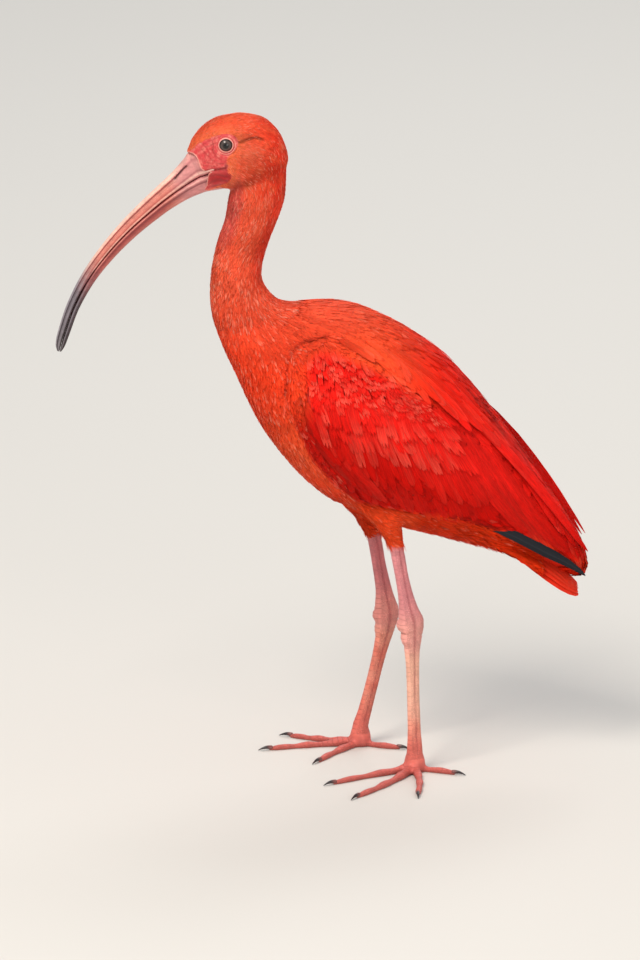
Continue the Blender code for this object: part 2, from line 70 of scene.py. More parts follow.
# Sections of the lofted forms: x, z, dip of the axis, reach up, reach down, half width, corner, droop
HEAD = [
    (-77.2, 386.4, -25.7, 14.0, 13.8, 7.6, 2.0, 0),
    (-73.5, 392.0, -18.4, 18.8, 18.8, 11.0, 2.1, 0),
    (-66.3, 397.3, -8.3, 22.7, 22.7, 14.8, 2.1, 0),
    (-57.5, 399.1, -3.4, 24.6, 24.8, 17.2, 2.1, 0),
    (-47.0, 399.5, 0, 25.2, 25.8, 18.6, 2.0, 0),
    (-37.0, 397.9, 7.2, 23.4, 23.8, 18.0, 2.0, 0),
    (-29.2, 395.0, 12, 17.2, 17.2, 14.2, 2.0, 0),
    (-23.4, 392.2, 15, 8.6, 8.6, 8.0, 2.0, 0),
    (-21.4, 391.4, 15, 3.6, 3.6, 3.6, 2.0, 0),
]
BODY = [
    (-40.6, 391.0, 93, 19.6, 14.0, 12.0, 2.0, 0),
    (-40.0, 371.0, 98, 18.0, 18.0, 15.0, 2.0, 0),
    (-44.8, 351.4, 106, 15.8, 16.2, 13.8, 2.0, 0),
    (-49.2, 339.6, 105, 16.0, 15.8, 13.4, 2.0, 0),
    (-52.4, 326.0, 99, 16.0, 15.8, 13.8, 2.0, 0),
    (-52.6, 313.8, 88, 16.6, 17.2, 14.8, 2.0, 0),
    (-49.2, 301.0, 74, 18.8, 20.8, 17.2, 2.0, 0),
    (-42.6, 289.5, 62, 22.2, 24.8, 21.0, 2.0, 0),
    (-28.4, 274.4, 49, 35.6, 33.6, 31.0, 2.1, 0),
    (-5.6, 254.4, 37, 50.4, 48.4, 44.0, 2.1, 0),
    (22.3, 233.4, 31, 57.8, 58.0, 52.0, 2.15, 0),
    (51.3, 212.3, 31, 57.2, 56.6, 51.5, 2.15, 0),
    (84.1, 190.4, 31, 45.2, 46.6, 42.0, 2.2, 0),
    (112.6, 169.8, 34, 32.2, 32.4, 29.5, 2.3, 0),
    (135.4, 151.6, 40, 23.2, 23.2, 20.0, 2.3, 0),
    (152.6, 136.2, 48, 15.4, 15.6, 12.0, 2.2, 0),
    (164.0, 124.6, 52, 4.6, 5.0, 5.0, 2.0, 0),
]
# How deep the coat lies over the skin at each section
BODY_COAT = [0.9, 1.0, 1.0, 1.0, 1.0, 1.0, 1.1, 1.2, 2.2, 1.6, 1.6, 1.8, 2.0, 2.4, 3.0, 3.2, 2.0]
HEAD_COAT = [0.0, 0.4, 0.8, 1.0, 1.1, 1.2, 1.2, 1.1, 1.0]
TAIL_COAT = [2.4, 2.4, 2.2, 1.8, 1.4]
THIGH_COAT = [2.0, 1.8, 1.3, 0.9, 0.7, 0.6, 0.5]
TAIL = [
    (66.0, 162.0, 14, 8.0, 6.4, 14.0, 2.2, 0.0),
    (84.0, 157.6, 19, 7.6, 6.6, 17.0, 2.2, 0.6),
    (104.0, 150.0, 24, 6.0, 5.0, 20.0, 2.2, 1.2),
    (124.0, 140.6, 28, 4.2, 3.6, 22.0, 2.2, 1.8),
    (141.0, 130.4, 33, 2.9, 2.6, 22.4, 2.3, 2.2),
    (153.0, 121.0, 38, 2.1, 2.0, 20.0, 2.4, 2.0),
    (159.6, 115.2, 40, 1.5, 1.4, 14.6, 2.4, 1.2),
    (162.8, 112.4, 41, 0.8, 0.8, 7.0, 2.0, 0.4),
]
BILL = [
    (-66.0, 389.4, 22, 14.6, 14.8, 8.6),
    (-74.6, 385.0, 29.5, 15.8, 12.6, 7.7),
    (-78.7, 382.7, 32, 13.6, 11.4, 7.3),
    (-87.4, 376.8, 35.5, 10.3, 9.4, 6.6),
    (-95.8, 370.4, 38, 8.8, 8.2, 6.0),
    (-103.8, 363.7, 40.5, 8.0, 7.4, 5.5),
    (-119.2, 349.5, 45.5, 6.7, 6.3, 4.9),
    (-133.2, 333.9, 51, 5.7, 5.3, 4.3),
    (-145.2, 317.2, 58.5, 5.0, 4.4, 3.8),
    (-154.8, 298.4, 67, 4.6, 3.6, 3.3),
    (-160.9, 280.7, 75, 4.2, 3.2, 3.0),
    (-163.2, 272.6, 78, 3.4, 2.5, 2.4),
    (-164.2, 268.6, 79, 1.5, 1.1, 1.2),
]
# Stations of a leg: x, z, dip, reach back, reach front, half width
THIGH = {
    "left": [
        (27.0, 196.0, 62, 20.0, 22.0, 15.0),
        (35.0, 180.0, 64, 15.2, 16.6, 12.4),
        (41.4, 167.0, 70, 10.6, 11.0, 9.4),
        (45.2, 156.6, 74, 7.4, 7.6, 7.0),
        (47.6, 148.0, 78, 5.4, 5.5, 5.4),
        (48.3, 144.6, 79, 4.8, 4.9, 4.8),
    ],
    "right": [
        (18.0, 186.0, 58, 19.0, 20.0, 14.6),
        (24.4, 168.0, 62, 13.4, 14.6, 11.8),
        (29.2, 155.0, 68, 9.2, 9.6, 8.6),
        (32.2, 146.0, 74, 6.4, 6.6, 6.4),
        (33.6, 139.6, 78, 5.2, 5.3, 5.2),
        (34.2, 136.6, 79, 4.7, 4.8, 4.7),
    ],
}
# One station more, inside the body, from which the skin of the thigh runs out of the flank
THIGH_TOP = {"left": (14.0, 208.0, 56, 16.0, 16.0, 12.0), "right": (2.0, 198.0, 50, 14.0, 13.0, 11.0)}
# How far that station and the others of a thigh stand from the middle plane
THIGH_OUT = [16.0, 22.0, 24.0, 25.6, 26.4, 26.8, 27.0]
LEG = {
    "left": [
        (46.4, 153.0, 79, 3.9, 3.9, 3.5),
        (48.6, 143.0, 80, 4.4, 4.4, 3.8),
        (51.0, 129.0, 80, 4.3, 4.2, 3.6),
        (53.4, 115.0, 81, 5.4, 4.6, 3.9),
        (55.8, 102.6, 86, 7.4, 6.8, 5.4),
        (56.6, 96.0, 89, 8.2, 7.6, 6.2),
        (57.0, 88.0, 90, 6.8, 6.0, 5.6),
        (57.4, 79.0, 90, 5.2, 4.6, 4.2),
        (57.9, 66.0, 89, 4.4, 4.0, 3.4),
        (58.4, 46.0, 89, 4.2, 3.9, 3.2),
        (59.0, 26.0, 88, 4.4, 4.1, 3.3),
        (59.4, 15.0, 90, 5.0, 5.0, 4.2),
        (59.4, 6.0, 90, 5.4, 5.6, 5.2),
    ],
    "right": [
        (32.0, 145.0, 80, 3.9, 3.9, 3.5),
        (34.4, 135.0, 80, 4.4, 4.4, 3.8),
        (36.8, 120.0, 80, 4.5, 4.3, 3.6),
        (39.4, 104.0, 83, 5.6, 4.8, 4.0),
        (41.0, 92.6, 88, 7.4, 6.8, 5.4),
        (41.2, 86.0, 93, 8.0, 7.6, 6.2),
        (40.6, 78.6, 97, 6.6, 6.2, 5.6),
        (39.0, 69.6, 100, 5.2, 4.8, 4.2),
        (36.4, 58.0, 102, 4.4, 4.1, 3.4),
        (32.2, 40.0, 103, 4.2, 4.0, 3.2),
        (28.0, 23.0, 102, 4.4, 4.3, 3.3),
        (25.4, 13.6, 98, 5.0, 5.0, 4.2),
        (24.8, 6.0, 92, 5.4, 5.6, 5.2),
    ],
}
# Swellings and dents of an ankle: height over it, place round the leg from -1 at its front to 1 at its
# back, how far they stand out, and their reach
KNUCKLES = [
    (2.5, -0.9, 1.3, 3.0), (-7.0, -0.6, 1.3, 2.9), (7.0, 0.9, 0.9, 4.4),
    (-2.4, -0.8, -0.9, 1.1), (-11.5, -0.6, -0.6, 1.6),
]
# Toes: angle from straight ahead, length, half width, joints, sideways bow
TOES = {
    "left": {
        "middle": (57.0, 67.0, 3.1, 3, -2.0),
        "inner": (29.0, 59.0, 2.9, 2, 1.5),
        "outer": (92.0, 52.0, 2.9, 3, -2.0),
        "hallux": (162.0, 27.0, 2.7, 1, -1.0),
    },
    "right": {
        "middle": (11.0, 59.0, 3.1, 3, 1.5),
        "inner": (54.0, 45.0, 2.9, 2, 1.5),
        "outer": (-20.0, 48.0, 2.9, 3, -1.5),
        "hallux": (160.0, 27.0, 2.7, 1, 1.0),
    },
}

# The folded wing's outline seen from the side, as x and z
WING = [
    (-20.8, 250.0), (-18.8, 263.0), (-11.6, 276.0), (4.0, 286.0), (24.0, 287.8), (46.0, 283.6),
    (92.0, 268.0), (150.0, 220.0), (188.0, 134.0), (165.0, 131.0), (153.5, 139.2), (138.0, 150.2),
    (120.0, 157.4), (100.0, 163.8), (76.0, 171.4), (48.0, 176.8), (24.0, 181.2), (8.0, 193.4),
    (-6.4, 211.4), (-16.0, 231.6),
]

# The lie of the small feathers: x, z, heading in degrees (0 is back, -90 is down), length, width
LIE = [
    (-75, 403, 40, 2.0, 0.75), (-60, 421, 6, 2.4, 0.8), (-45, 424, -6, 2.8, 0.85), (-30, 416, -38, 3.2, 0.9),
    (-23, 402, -68, 3.8, 1.0), (-50, 410, -8, 2.6, 0.8), (-44, 396, -34, 3.0, 0.85),
    (-54, 386, -42, 2.7, 0.8), (-62, 379, -62, 2.4, 0.8), (-74, 376, -40, 2.0, 0.75),
    (-30, 388, -84, 4.0, 1.0), (-42, 370, -104, 4.4, 1.0), (-25, 368, -103, 4.8, 1.05),
    (-58, 366, -106, 4.2, 1.0), (-45, 350, -116, 5.0, 1.1), (-50, 335, -112, 5.4, 1.2),
    (-52, 320, -100, 5.8, 1.3), (-67, 320, -102, 5.6, 1.25), (-52, 305, -80, 6.2, 1.45),
    (-36, 302, -62, 6.4, 1.5), (-34, 290, -46, 7.0, 1.8), (-60, 290, -80, 7.0, 1.7),
    (-50, 270, -68, 8.0, 2.1), (-48, 245, -62, 9.0, 2.4), (-30, 215, -54, 10.0, 2.6),
    (-10, 190, -45, 10.0, 2.7), (15, 170, -32, 10.0, 2.7), (45, 158, -18, 10.0, 2.7),
    (80, 152, -20, 12.0, 3.0), (110, 146, -26, 14.0, 3.4), (-15, 290, -34, 8.0, 2.2),
    (10, 290, -26, 12.0, 3.4), (40, 272, -28, 17.0, 4.6), (70, 250, -32, 24.0, 6.4),
    (100, 225, -37, 32.0, 8.4), (130, 195, -43, 36.0, 9.4), (150, 165, -52, 32.0, 9.0),
    (-26, 262, -62, 8.0, 2.2), (-24, 236, -58, 8.6, 2.4), (-10, 250, -72, 7.0, 2.2),
    (2, 274, -40, 6.0, 2.0), (10, 240, -72, 12.0, 6.0), (25, 215, -68, 20.0, 8.0),
    (55, 205, -60, 26.0, 9.0), (85, 195, -50, 30.0, 9.5), (115, 180, -44, 32.0, 9.5),
]
# Where each kind of small feather grows: spacing, size, how far root and tip stand off the skin, how pale
# the common and the few pale tips are and the share of those, and how far the vanes stray in degrees
TRACTS = {
    "face edge": (0.56, 0.95, (0.02, 0.35), (0.03, 0.60, 0.16), 12),
    "head": (0.64, 1.15, (0.05, 0.55), (0.04, 0.95, 0.17), 11),
    "cheek": (0.70, 1.5, (0.10, 1.05), (0.05, 0.95, 0.30), 15),
    "upper neck": (0.74, 1.25, (0.05, 0.60), (0.04, 0.95, 0.20), 8),
    "lower neck": (0.84, 1.35, (0.06, 0.75), (0.04, 0.95, 0.22), 8),
    "breast": (1.25, 1.18, (0.10, 1.15), (0.03, 0.55, 0.16), 7),
    "wing front": (1.3, 1.3, (0.5, 1.7), (0.04, 0.50, 0.24), 9),
    "belly": (1.6, 1.15, (0.10, 1.5), (0.0, 0.3, 0.10), 7),
    "thighs": (0.9, 0.66, (0.20, 1.15), (0.0, 0.4, 0.10), 7),
    "mantle": (1.5, 1.2, (1.6, 2.2), (0.02, 0.3, 0.12), 5),
    "back": (2.9, 1.15, (2.0, 2.8), (0.0, 0.12, 0.10), 4),
    "shoulder": (1.0, 0.8, (0.9, 2.3), (0.03, 0.4, 0.12), 6),
    "wing": (5.0, 1.0, (0.1, 1.3), (0.0, 0.1, 0.10), 5),
}

# Bare skin of the face, seen from the side in picture places, with the strip round the bill's root
FACE = [
    (176, 148), (188.2, 152.2), (194.9, 146.4), (199, 142.7), (205.7, 140.2), (216.4, 135.6),
    (227.2, 133.3), (234.7, 135.6), (238.8, 141.4), (238, 148.1), (233, 153), (228, 158),
    (227.2, 162.2), (229.7, 166.3), (228, 169.6), (232.2, 174.6), (231.4, 179.6), (228, 182.9),
    (216.4, 187), (207.3, 189.5), (201.5, 192), (188, 200), (170, 180),
]
# The horn at the root of both mandibles, whose back edges are arcs over the skin
HORN = [
    (150, 140), (186, 150.5), (190.5, 152.4), (194.2, 153.6), (197.2, 156.4), (199, 160), (200.2, 164.4),
    (202, 168.6), (205.5, 171.2), (212.3, 172.1), (209.8, 173.8), (208.5, 177), (208, 181.2), (207.4, 185.4),
    (204.0, 190.5), (200, 215), (150, 215),
]
# Creases of the face: depth, half width in millimetres, and their line in picture places
CREASES = [
    (1.3, 1.3, [(235, 137), (239, 142.6), (244, 141.4), (249, 139.5), (257, 138.2), (263, 140)]),
    (0.30, 0.6, [(213, 150), (217, 158), (226, 161), (235, 157.5), (240, 150)]),
    (0.32, 0.6, [(205, 152), (211, 159), (219, 164), (229, 163)]),
    (0.34, 0.7, [(217, 143), (208, 147), (199, 152)]),
    (0.28, 0.6, [(221, 137), (211, 141), (203, 145)]),
    (0.30, 0.5, [(200, 147), (204, 152), (206, 158)]),
    (0.30, 0.5, [(203, 145), (208, 150), (210, 156)]),
    (0.26, 0.5, [(213, 141), (214, 147), (212, 153)]),
    (0.95, 0.75, [(196, 173.6), (205.5, 171.6), (212, 170.5), (219, 169.6), (226.0, 168.4), (227, 165.5)]),
    (0.45, 0.7, [(226, 169.7), (230.5, 174.0), (231, 180), (227, 184)]),
    (0.30, 0.6, [(211, 176), (218, 175), (228, 177.0)]),
    (0.34, 0.6, [(210, 183.5), (218, 180.5), (228, 181)]),
    (0.30, 0.6, [(212, 186), (221, 184.5), (229, 184)]),
    (0.30, 0.5, [(203, 160), (208, 163), (214, 164)]),
    (0.28, 0.5, [(204, 165.5), (210, 166.5), (218, 166)]),
]
# The fold round the front of the wing, in picture places, along which painted shade darkens the plumage
SHOULDER = [(284.5, 396), (286, 384), (287.2, 369), (291, 355), (299.5, 345), (312, 338.4), (329, 335)]
SHOULDER += [(350, 338), (368, 346)]
# The dark red of painted shade, laid in the plumage's gaps and folds and under the jaw
PAINTED_SHADE_RED = "#6E0A04"
# Painted shade in that red along the shadowed folds and gaps between parts of the plumage: its line in
# picture places, half width in pixels and strength
SHADES = [
    (SHOULDER[:7], 1.2, 0.65),
    ([(335, 338), (350, 343), (366, 353), (378, 362)], 1.3, 0.4),
    ([(484, 402), (494, 418), (505, 434), (517, 450)], 2.0, 0.6),
    ([(470, 392), (480, 402), (490, 414)], 1.6, 0.5),
    ([(300, 398), (308, 420), (318, 440), (332, 460), (350, 480)], 1.8, 0.5),
    ([(455, 515.5), (470, 519.5), (484, 523.5), (500, 528)], 1.2, 0.8),
]


def linear(code):
    """An sRGB hex colour as linear red, green and blue."""
    parts = [int(code[i : i + 2], 16) / 255 for i in (1, 3, 5)]
    return np.array([c / 12.92 if c <= 0.04045 else ((c + 0.055) / 1.055) ** 2.4 for c in parts])


def eased(value, start, end):
    """0 before start, 1 after end and smooth between them."""
    t = np.clip((value - start) / (end - start), 0, 1)
    return t * t * (3 - 2 * t)


def bell(distance, reach):
    """1 at no distance, falling smoothly to about a third at that reach."""
    return np.exp(-((distance / reach) ** 2))


def blend(base, other, share):
    """Colours drawn towards another colour by a share of 0 to 1."""
    return base + (other - base) * share


def dense(rows, per_span):
    """Rows of numbers with more rows between them, along a Catmull-Rom curve through them all."""
    rows = np.array(rows, float)
    padded = np.vstack([rows[:1], rows, rows[-1:]])
    steps = []
    for i in range(len(rows) - 1):
        a, b, c, d = padded[i : i + 4]
        for t in np.arange(per_span) / per_span:
            steps.append(b + 0.5 * t * (c - a + t * (2 * a - 5 * b + 4 * c - d + t * (3 * (b - c) + d - a))))
    return np.vstack([steps, rows[-1:]])


def along_line(line, shares):
    """Places at shares of the length of a smooth line through a few points."""
    line = dense(line, 8)
    steps = np.linalg.norm(np.diff(line, axis=0), axis=1)
    reach = np.concatenate([[0], np.cumsum(steps)]) / steps.sum()
    return np.stack([np.interp(shares, reach, line[:, i]) for i in range(line.shape[1])], axis=1)


def seen(points):
    """Picture places of points on the bird, each from the side that it is on."""
    across = MIDDLE + points[:, 0] / PIXEL
    height = points[:, 2] * math.cos(LEAN) - np.abs(points[:, 1]) * math.sin(LEAN)
    return np.stack([across, GROUND - height / PIXEL], axis=1)


def line_gap(places, line, closed=False):
    """How far flat places are from a line, negative inside a closed one."""
    line = np.array(line, float)
    ends = np.roll(line, -1, axis=0) if closed else line[1:]
    starts = line if closed else line[:-1]
    best = np.full(len(places), 1e9)
    inside = np.zeros(len(places), bool)
    for a, b in zip(starts, ends):
        share = np.clip(((places - a) @ (b - a)) / max(((b - a) ** 2).sum(), 1e-9), 0, 1)
        best = np.minimum(best, np.linalg.norm(places - a - share[:, None] * (b - a), axis=1))
        if closed:
            crosses = (a[1] > places[:, 1]) != (b[1] > places[:, 1])
            rise = b[1] - a[1] if b[1] != a[1] else 1e-9
            inside ^= crosses & (places[:, 0] < (b[0] - a[0]) * (places[:, 1] - a[1]) / rise + a[0])
    return np.where(inside, -best, best) if closed else best


def steady_noise(points, size, seed):
    """Smooth noise of about -1 to 1 made of a few waves, the same on every run."""
    rng = np.random.default_rng(seed)
    total = np.zeros(len(points))
    for _ in range(9):
        way = rng.normal(size=3)
        way /= np.linalg.norm(way)
        total += np.sin(points @ way * (2 * math.pi / (size * rng.uniform(0.6, 1.7))) + rng.uniform(0, 6.28))
    return total / 4


def unit(vectors):
    """Vectors at a length of 1."""
    return vectors / np.maximum(np.linalg.norm(vectors, axis=-1, keepdims=True), 1e-9)


def at_head(points, rear=-28):
    """Whether points are on the head, ahead of that x."""
    return (points[:, 2] > 372) & (points[:, 0] < rear)


def nearest_station(flat, line):
    """The number of the station of a line that each flat place is nearest to, a batch at a time."""
    nearest = np.empty(len(flat), int)
    batch = 20000
    for start in range(0, len(flat), batch):
        part = slice(start, start + batch)
        gaps = ((flat[part, None] - line[None]) ** 2).sum(axis=2)
        nearest[part] = gaps.argmin(axis=1)
    return nearest


# The skin


def way_up(dip):
    """The way up from an axis that dips by so many degrees towards the bird's rear."""
    return np.array((math.sin(math.radians(dip)), 0, math.cos(math.radians(dip))))


def ring(centre, side, rise, half_width, up, down, corner, droop, count):
    """A closed loop of points: an oval, squarer the larger its corner, whose sides droop."""
    turn = 2 * math.pi * np.arange(count) / count
    across = np.sign(np.cos(turn)) * np.abs(np.cos(turn)) ** (2 / corner)
    height = np.sign(np.sin(turn)) * np.abs(np.sin(turn)) ** (2 / corner)
    reach = np.where(height > 0, up, down)
    lifted = height * reach - droop * across**2
    return centre + np.outer(across * half_width, side) + np.outer(lifted, rise)


def middle_rings(rows, coat, count, per_span):
    """Rings of a form that lies across the middle plane, drawn in by the coat's depth."""
    rings = []
    table = [row + (drawn,) for row, drawn in zip(rows, coat)]
    for x, z, dip, up, down, wide, corner, droop, depth in dense(table, per_span):
        up, down, wide = (max(reach - min(depth, reach * 0.5), 0.6) for reach in (up, down, wide))
        rings.append(ring(np.array((x, 0, z)), ACROSS, way_up(dip), wide, up, down, corner, droop, count))
    return rings


def limb_rings(rows, outs, side, count, per_span, depths):
    """Rings of a leg or thigh, so far out from the middle plane and drawn in by the coat's depth."""
    rings = []
    table = [row + (out, depth) for row, out, depth in zip(rows, outs, depths)]
    for x, z, dip, back, front, wide, out, depth in dense(table, per_span):
        centre = np.array((x, out * SIDES[side], z))
        reaches = (wide - depth, back - depth, front - depth)
        rings.append(ring(centre, ACROSS, way_up(dip), *reaches, 2, 0, count))
    return rings


def toe_line(side, toe, steps):
    """Shares and places down the middle of a toe on the ground, and the ways along and across it."""
    angle, length, _, _, bow = toe
    turn = math.radians(angle)
    ahead = np.array((-math.cos(turn), -math.sin(turn), 0))
    across = np.array((ahead[1], -ahead[0], 0))
    start = np.array((*FOOT[side], 0))
    for share in np.linspace(0, 1, steps):
        yield share, start + ahead * length * share + across * bow * math.sin(math.pi * share), ahead, across


def toe_rings(side, toe):
    """A toe with a flat sole and a pad under each joint."""
    rings = []
    _, _, half_width, joints, _ = toe
    for share, place, _, across in toe_line(side, toe, 40):
        swell = 1 + 0.12 * math.cos(2 * math.pi * (joints + 0.5) * share) * min(1, 3 * (1 - share))
        width = 0.9 * half_width * (1 - 0.30 * share) * swell
        height = (2.35 - 0.75 * share) * swell
        root = 5.2 * max(0.0, 1 - share / 0.34) ** 2
        tip = math.sqrt(max(1 - max((share - 0.9) / 0.1, 0) ** 2, 0.12))
        centre = place + np.array((0, 0, height + 0.55 * root - 0.45))
        up, down = (height + 0.45 * root) * tip, height + root
        loop = ring(centre, across, UP, width * tip, up, down, 2.3, 0, 20)
        loop[:, 2] = np.maximum(loop[:, 2], 0.0)
        rings.append(loop)
    return rings


def hub_rings(side):
    """The pad of a foot, where its toes meet."""
    rings = []
    for height, reach in zip((14.0, 12.0, 9.6, 6.6, 3.6, 1.2, 0.0), (4.4, 5.0, 5.9, 6.6, 6.8, 6.2, 5.0)):
        centre = np.array((*FOOT[side], height))
        rings.append(ring(centre, ACROSS, np.array((1.0, 0, 0)), reach, reach, reach, 2, 0, 24))
    return rings


def tube_faces(rings, start):
    """Faces of a closed tube over rings of equal counts, whose first vertex has the number start."""
    count = len(rings[0])
    faces = []
    for k in range(len(rings) - 1):
        for i in range(count):
            n = (i + 1) % count
            a = start + k * count
            faces.append((a + i, a + n, a + count + n, a + count + i))
    faces.append(tuple(start + i for i in reversed(range(count))))
    faces.append(tuple(start + (len(rings) - 1) * count + i for i in range(count)))
    return faces


def mesh_object(name, points, faces):
    """A new object with a mesh of these points and faces."""
    mesh = bpy.data.meshes.new(name)
    mesh.from_pydata([tuple(p) for p in points], [], faces)
    item = bpy.data.objects.new(name, mesh)
    bpy.context.scene.collection.objects.link(item)
    return item


def only(item):
    """Selects one object alone and makes it the one that operators work on."""
    for other in bpy.context.selected_objects:
        other.select_set(False)
    item.select_set(True)
    bpy.context.view_layer.objects.active = item
    return item


def outward(item):
    """Turns all faces of a closed piece outwards."""
    only(item)
    bpy.ops.object.mode_set(mode="EDIT")
    bpy.ops.mesh.select_all(action="SELECT")
    bpy.ops.mesh.normals_make_consistent(inside=False)
    bpy.ops.object.mode_set(mode="OBJECT")


def read_points(mesh):
    """Where a mesh's vertices are."""
    points = np.empty(len(mesh.vertices) * 3)
    mesh.vertices.foreach_get("co", points)
    return points.reshape(-1, 3)


def read_normals(mesh):
    """The ways that a mesh's vertices face."""
    normals = np.empty(len(mesh.vertices) * 3, np.float32)
    mesh.vertices.foreach_get("normal", normals)
    return normals.reshape(-1, 3).astype(float)


def write_points(mesh, points):
    """Moves a mesh's vertices to these points."""
    mesh.vertices.foreach_set("co", points.astype(np.float32).ravel())
    mesh.update()


def smoothed(mesh, points, rounds, hold=None):
    """Evens out a mesh without shrinking it. hold is 1 where the points stay."""
    pairs = np.empty(len(mesh.edges) * 2, int)
    mesh.edges.foreach_get("vertices", pairs)
    a, b = pairs.reshape(-1, 2).T
    counts = np.bincount(a, minlength=len(points)) + np.bincount(b, minlength=len(points))
    free = 1.0 if hold is None else (1 - hold)[:, None]
    for step in range(rounds * 2):
        mean = np.empty_like(points)
        for i in range(3):
            mean[:, i] = np.bincount(a, points[b, i], len(points)) + np.bincount(b, points[a, i], len(points))
        mean /= np.maximum(counts, 1)[:, None]
        points = points + free * (0.55 if step % 2 == 0 else -0.56) * (mean - points)
    return points


def flesh():
    """One closed skin over every part of flesh, before its folds are shaped."""
    tubes = [
        middle_rings(HEAD, HEAD_COAT, 56, 6),
        middle_rings(BODY, BODY_COAT, 72, 6),
        middle_rings(TAIL[:5], TAIL_COAT, 40, 6),
    ]
    for side in SIDES:
        upper_leg = [THIGH_TOP[side]] + THIGH[side]
        tubes.append(limb_rings(upper_leg, THIGH_OUT, side, 32, 6, THIGH_COAT))
        bare_leg = LEG[side]
        tubes.append(limb_rings(bare_leg, [STANCE] * len(bare_leg), side, 28, 6, [0] * len(bare_leg)))
        tubes.append(hub_rings(side))
        tubes.extend(toe_rings(side, toe) for toe in TOES[side].values())
    points, faces = [], []
    for rings in tubes:
        faces.extend(tube_faces(rings, len(points)))
        points.extend(p for loop in rings for p in loop)
    skin = mesh_object("skin", points, faces)
    outward(skin)
    bpy.ops.object.modifier_add(type="REMESH")
    union = skin.modifiers[0]
    union.mode = "VOXEL"
    union.voxel_size = 0.95
    bpy.ops.object.modifier_apply(modifier=union.name)
    points = smoothed(skin.data, read_points(skin.data), 5)
    points[:, 2] = np.maximum(points[:, 2], 0.0)
    write_points(skin.data, points)
    return skin


def thin_out_skin(skin):
    """Fewer faces where feathers hide the skin, and more round the eyes."""
    points = read_points(skin.data)
    covered = eased(line_gap(seen(points), FACE, True), 10, 22) * eased(points[:, 2], 150, 158)
    group = skin.vertex_groups.new(name="covered")
    for value in np.unique(np.round(covered, 1)):
        which = np.nonzero(np.round(covered, 1) == value)[0]
        group.add(which.tolist(), float(value), "REPLACE")
    only(skin)
    bpy.ops.object.modifier_add(type="DECIMATE")
    fewer = skin.modifiers[0]
    fewer.ratio = 0.42
    fewer.vertex_group = group.name
    fewer.vertex_group_factor = 6.0
    bpy.ops.object.modifier_apply(modifier=fewer.name)
    skin.vertex_groups.clear()
    for reach, beside in ((9.5, 2.6), (8.0, 1.6)):
        shape = bmesh.new()
        shape.from_mesh(skin.data)
        points = np.array([v.co for v in shape.verts])
        to_eye = np.hypot(points[:, 0] - EYE[0], points[:, 2] - EYE[1])
        to_horn = np.abs(line_gap(seen(points), HORN, True)) * PIXEL
        fine = (to_eye < reach) | ((to_horn < beside) & (points[:, 2] > 370) & (points[:, 0] < -60))
        near = [edge for edge in shape.edges if all(fine[v.index] for v in edge.verts)]
        bmesh.ops.subdivide_edges(shape, edges=near, cuts=1, use_grid_fill=True)
        bmesh.ops.triangulate(shape, faces=shape.faces)
        shape.to_mesh(skin.data)
        shape.free()


def shape_skin(skin):
    """The folds of the face, the lids, the shoulder's fold and the wrinkles of the legs."""
    points = smoothed(skin.data, read_points(skin.data), 2)
    write_points(skin.data, points)
    normals = read_normals(skin.data)
    places = seen(points)
    on_head = at_head(points)
    rise = face_rise(points, places, on_head)
    add_body_folds(rise, points, places)
    add_leg_folds(rise, points)
    points = points + normals * rise[:, None]
    return shape_lids(points, on_head)


def face_rise(points, places, on_head):
    """How far the head's skin stands out: its creases, wrinkles and cheek, sunk where the horn covers it."""
    bare = np.where(on_head, 1 - eased(line_gap(places, FACE, True), -1.0, 2.0), 0)
    horn_gap = line_gap(places, HORN, True) * PIXEL
    ahead = on_head * (1 - eased(horn_gap, -1.1, 0.1))
    soft = bare * eased(horn_gap, -0.1, 1.0)
    rise = bare * (1 - ahead) * 0.9 - 2.4 * ahead
    rise += bare * 0.22 * bell(horn_gap - 0.45, 0.4)
    for depth, half, line in CREASES:
        gap = line_gap(places, dense(line, 4)) * PIXEL
        rise -= on_head * (1 - ahead) * depth * bell(gap, half)
    rise += soft * (0.10 * steady_noise(points, 2.2, 4) + 0.16 * steady_noise(points, 4.6, 5))
    rise += on_head * (1 - bare) * (0.16 * steady_noise(points, 7.0, 6) + 0.07 * steady_noise(points, 2.6, 9))
    cheek = line_gap(places, [(247, 151), (262, 153)]) * PIXEL
    rise += on_head * 0.9 * bell(cheek, 6.0)
    return rise


def add_body_folds(rise, points, places):
    """Adds to the rise the fold round the wing's front, the mantle's swell and the hollow of the belly."""
    x, z = points[:, 0], points[:, 2]
    front = dense(SHOULDER[:7], 4)
    fold = line_gap(places, front) * PIXEL
    inner = line_gap(places, front + np.array((9, 9))) * PIXEL
    on_body = (z > 200) & (np.abs(points[:, 1]) > 12)
    rise -= on_body * 2.2 * bell(fold, 2.6)
    rise += on_body * 1.2 * bell(inner, 5.0)
    crest = eased(z, 276, 292) * (1 - eased(z, 302, 318))
    rise += 3.0 * bell(x - 4, 26) * crest
    flank = line_gap(points[:, [0, 2]], WING, True)
    belly = eased(flank, 0.5, 3.5) * (x > 10) * eased(-z, -205, -190)
    belly *= eased(z, 146, 152) * (1 - eased(x, 95, 110))
    rise -= 1.2 * belly


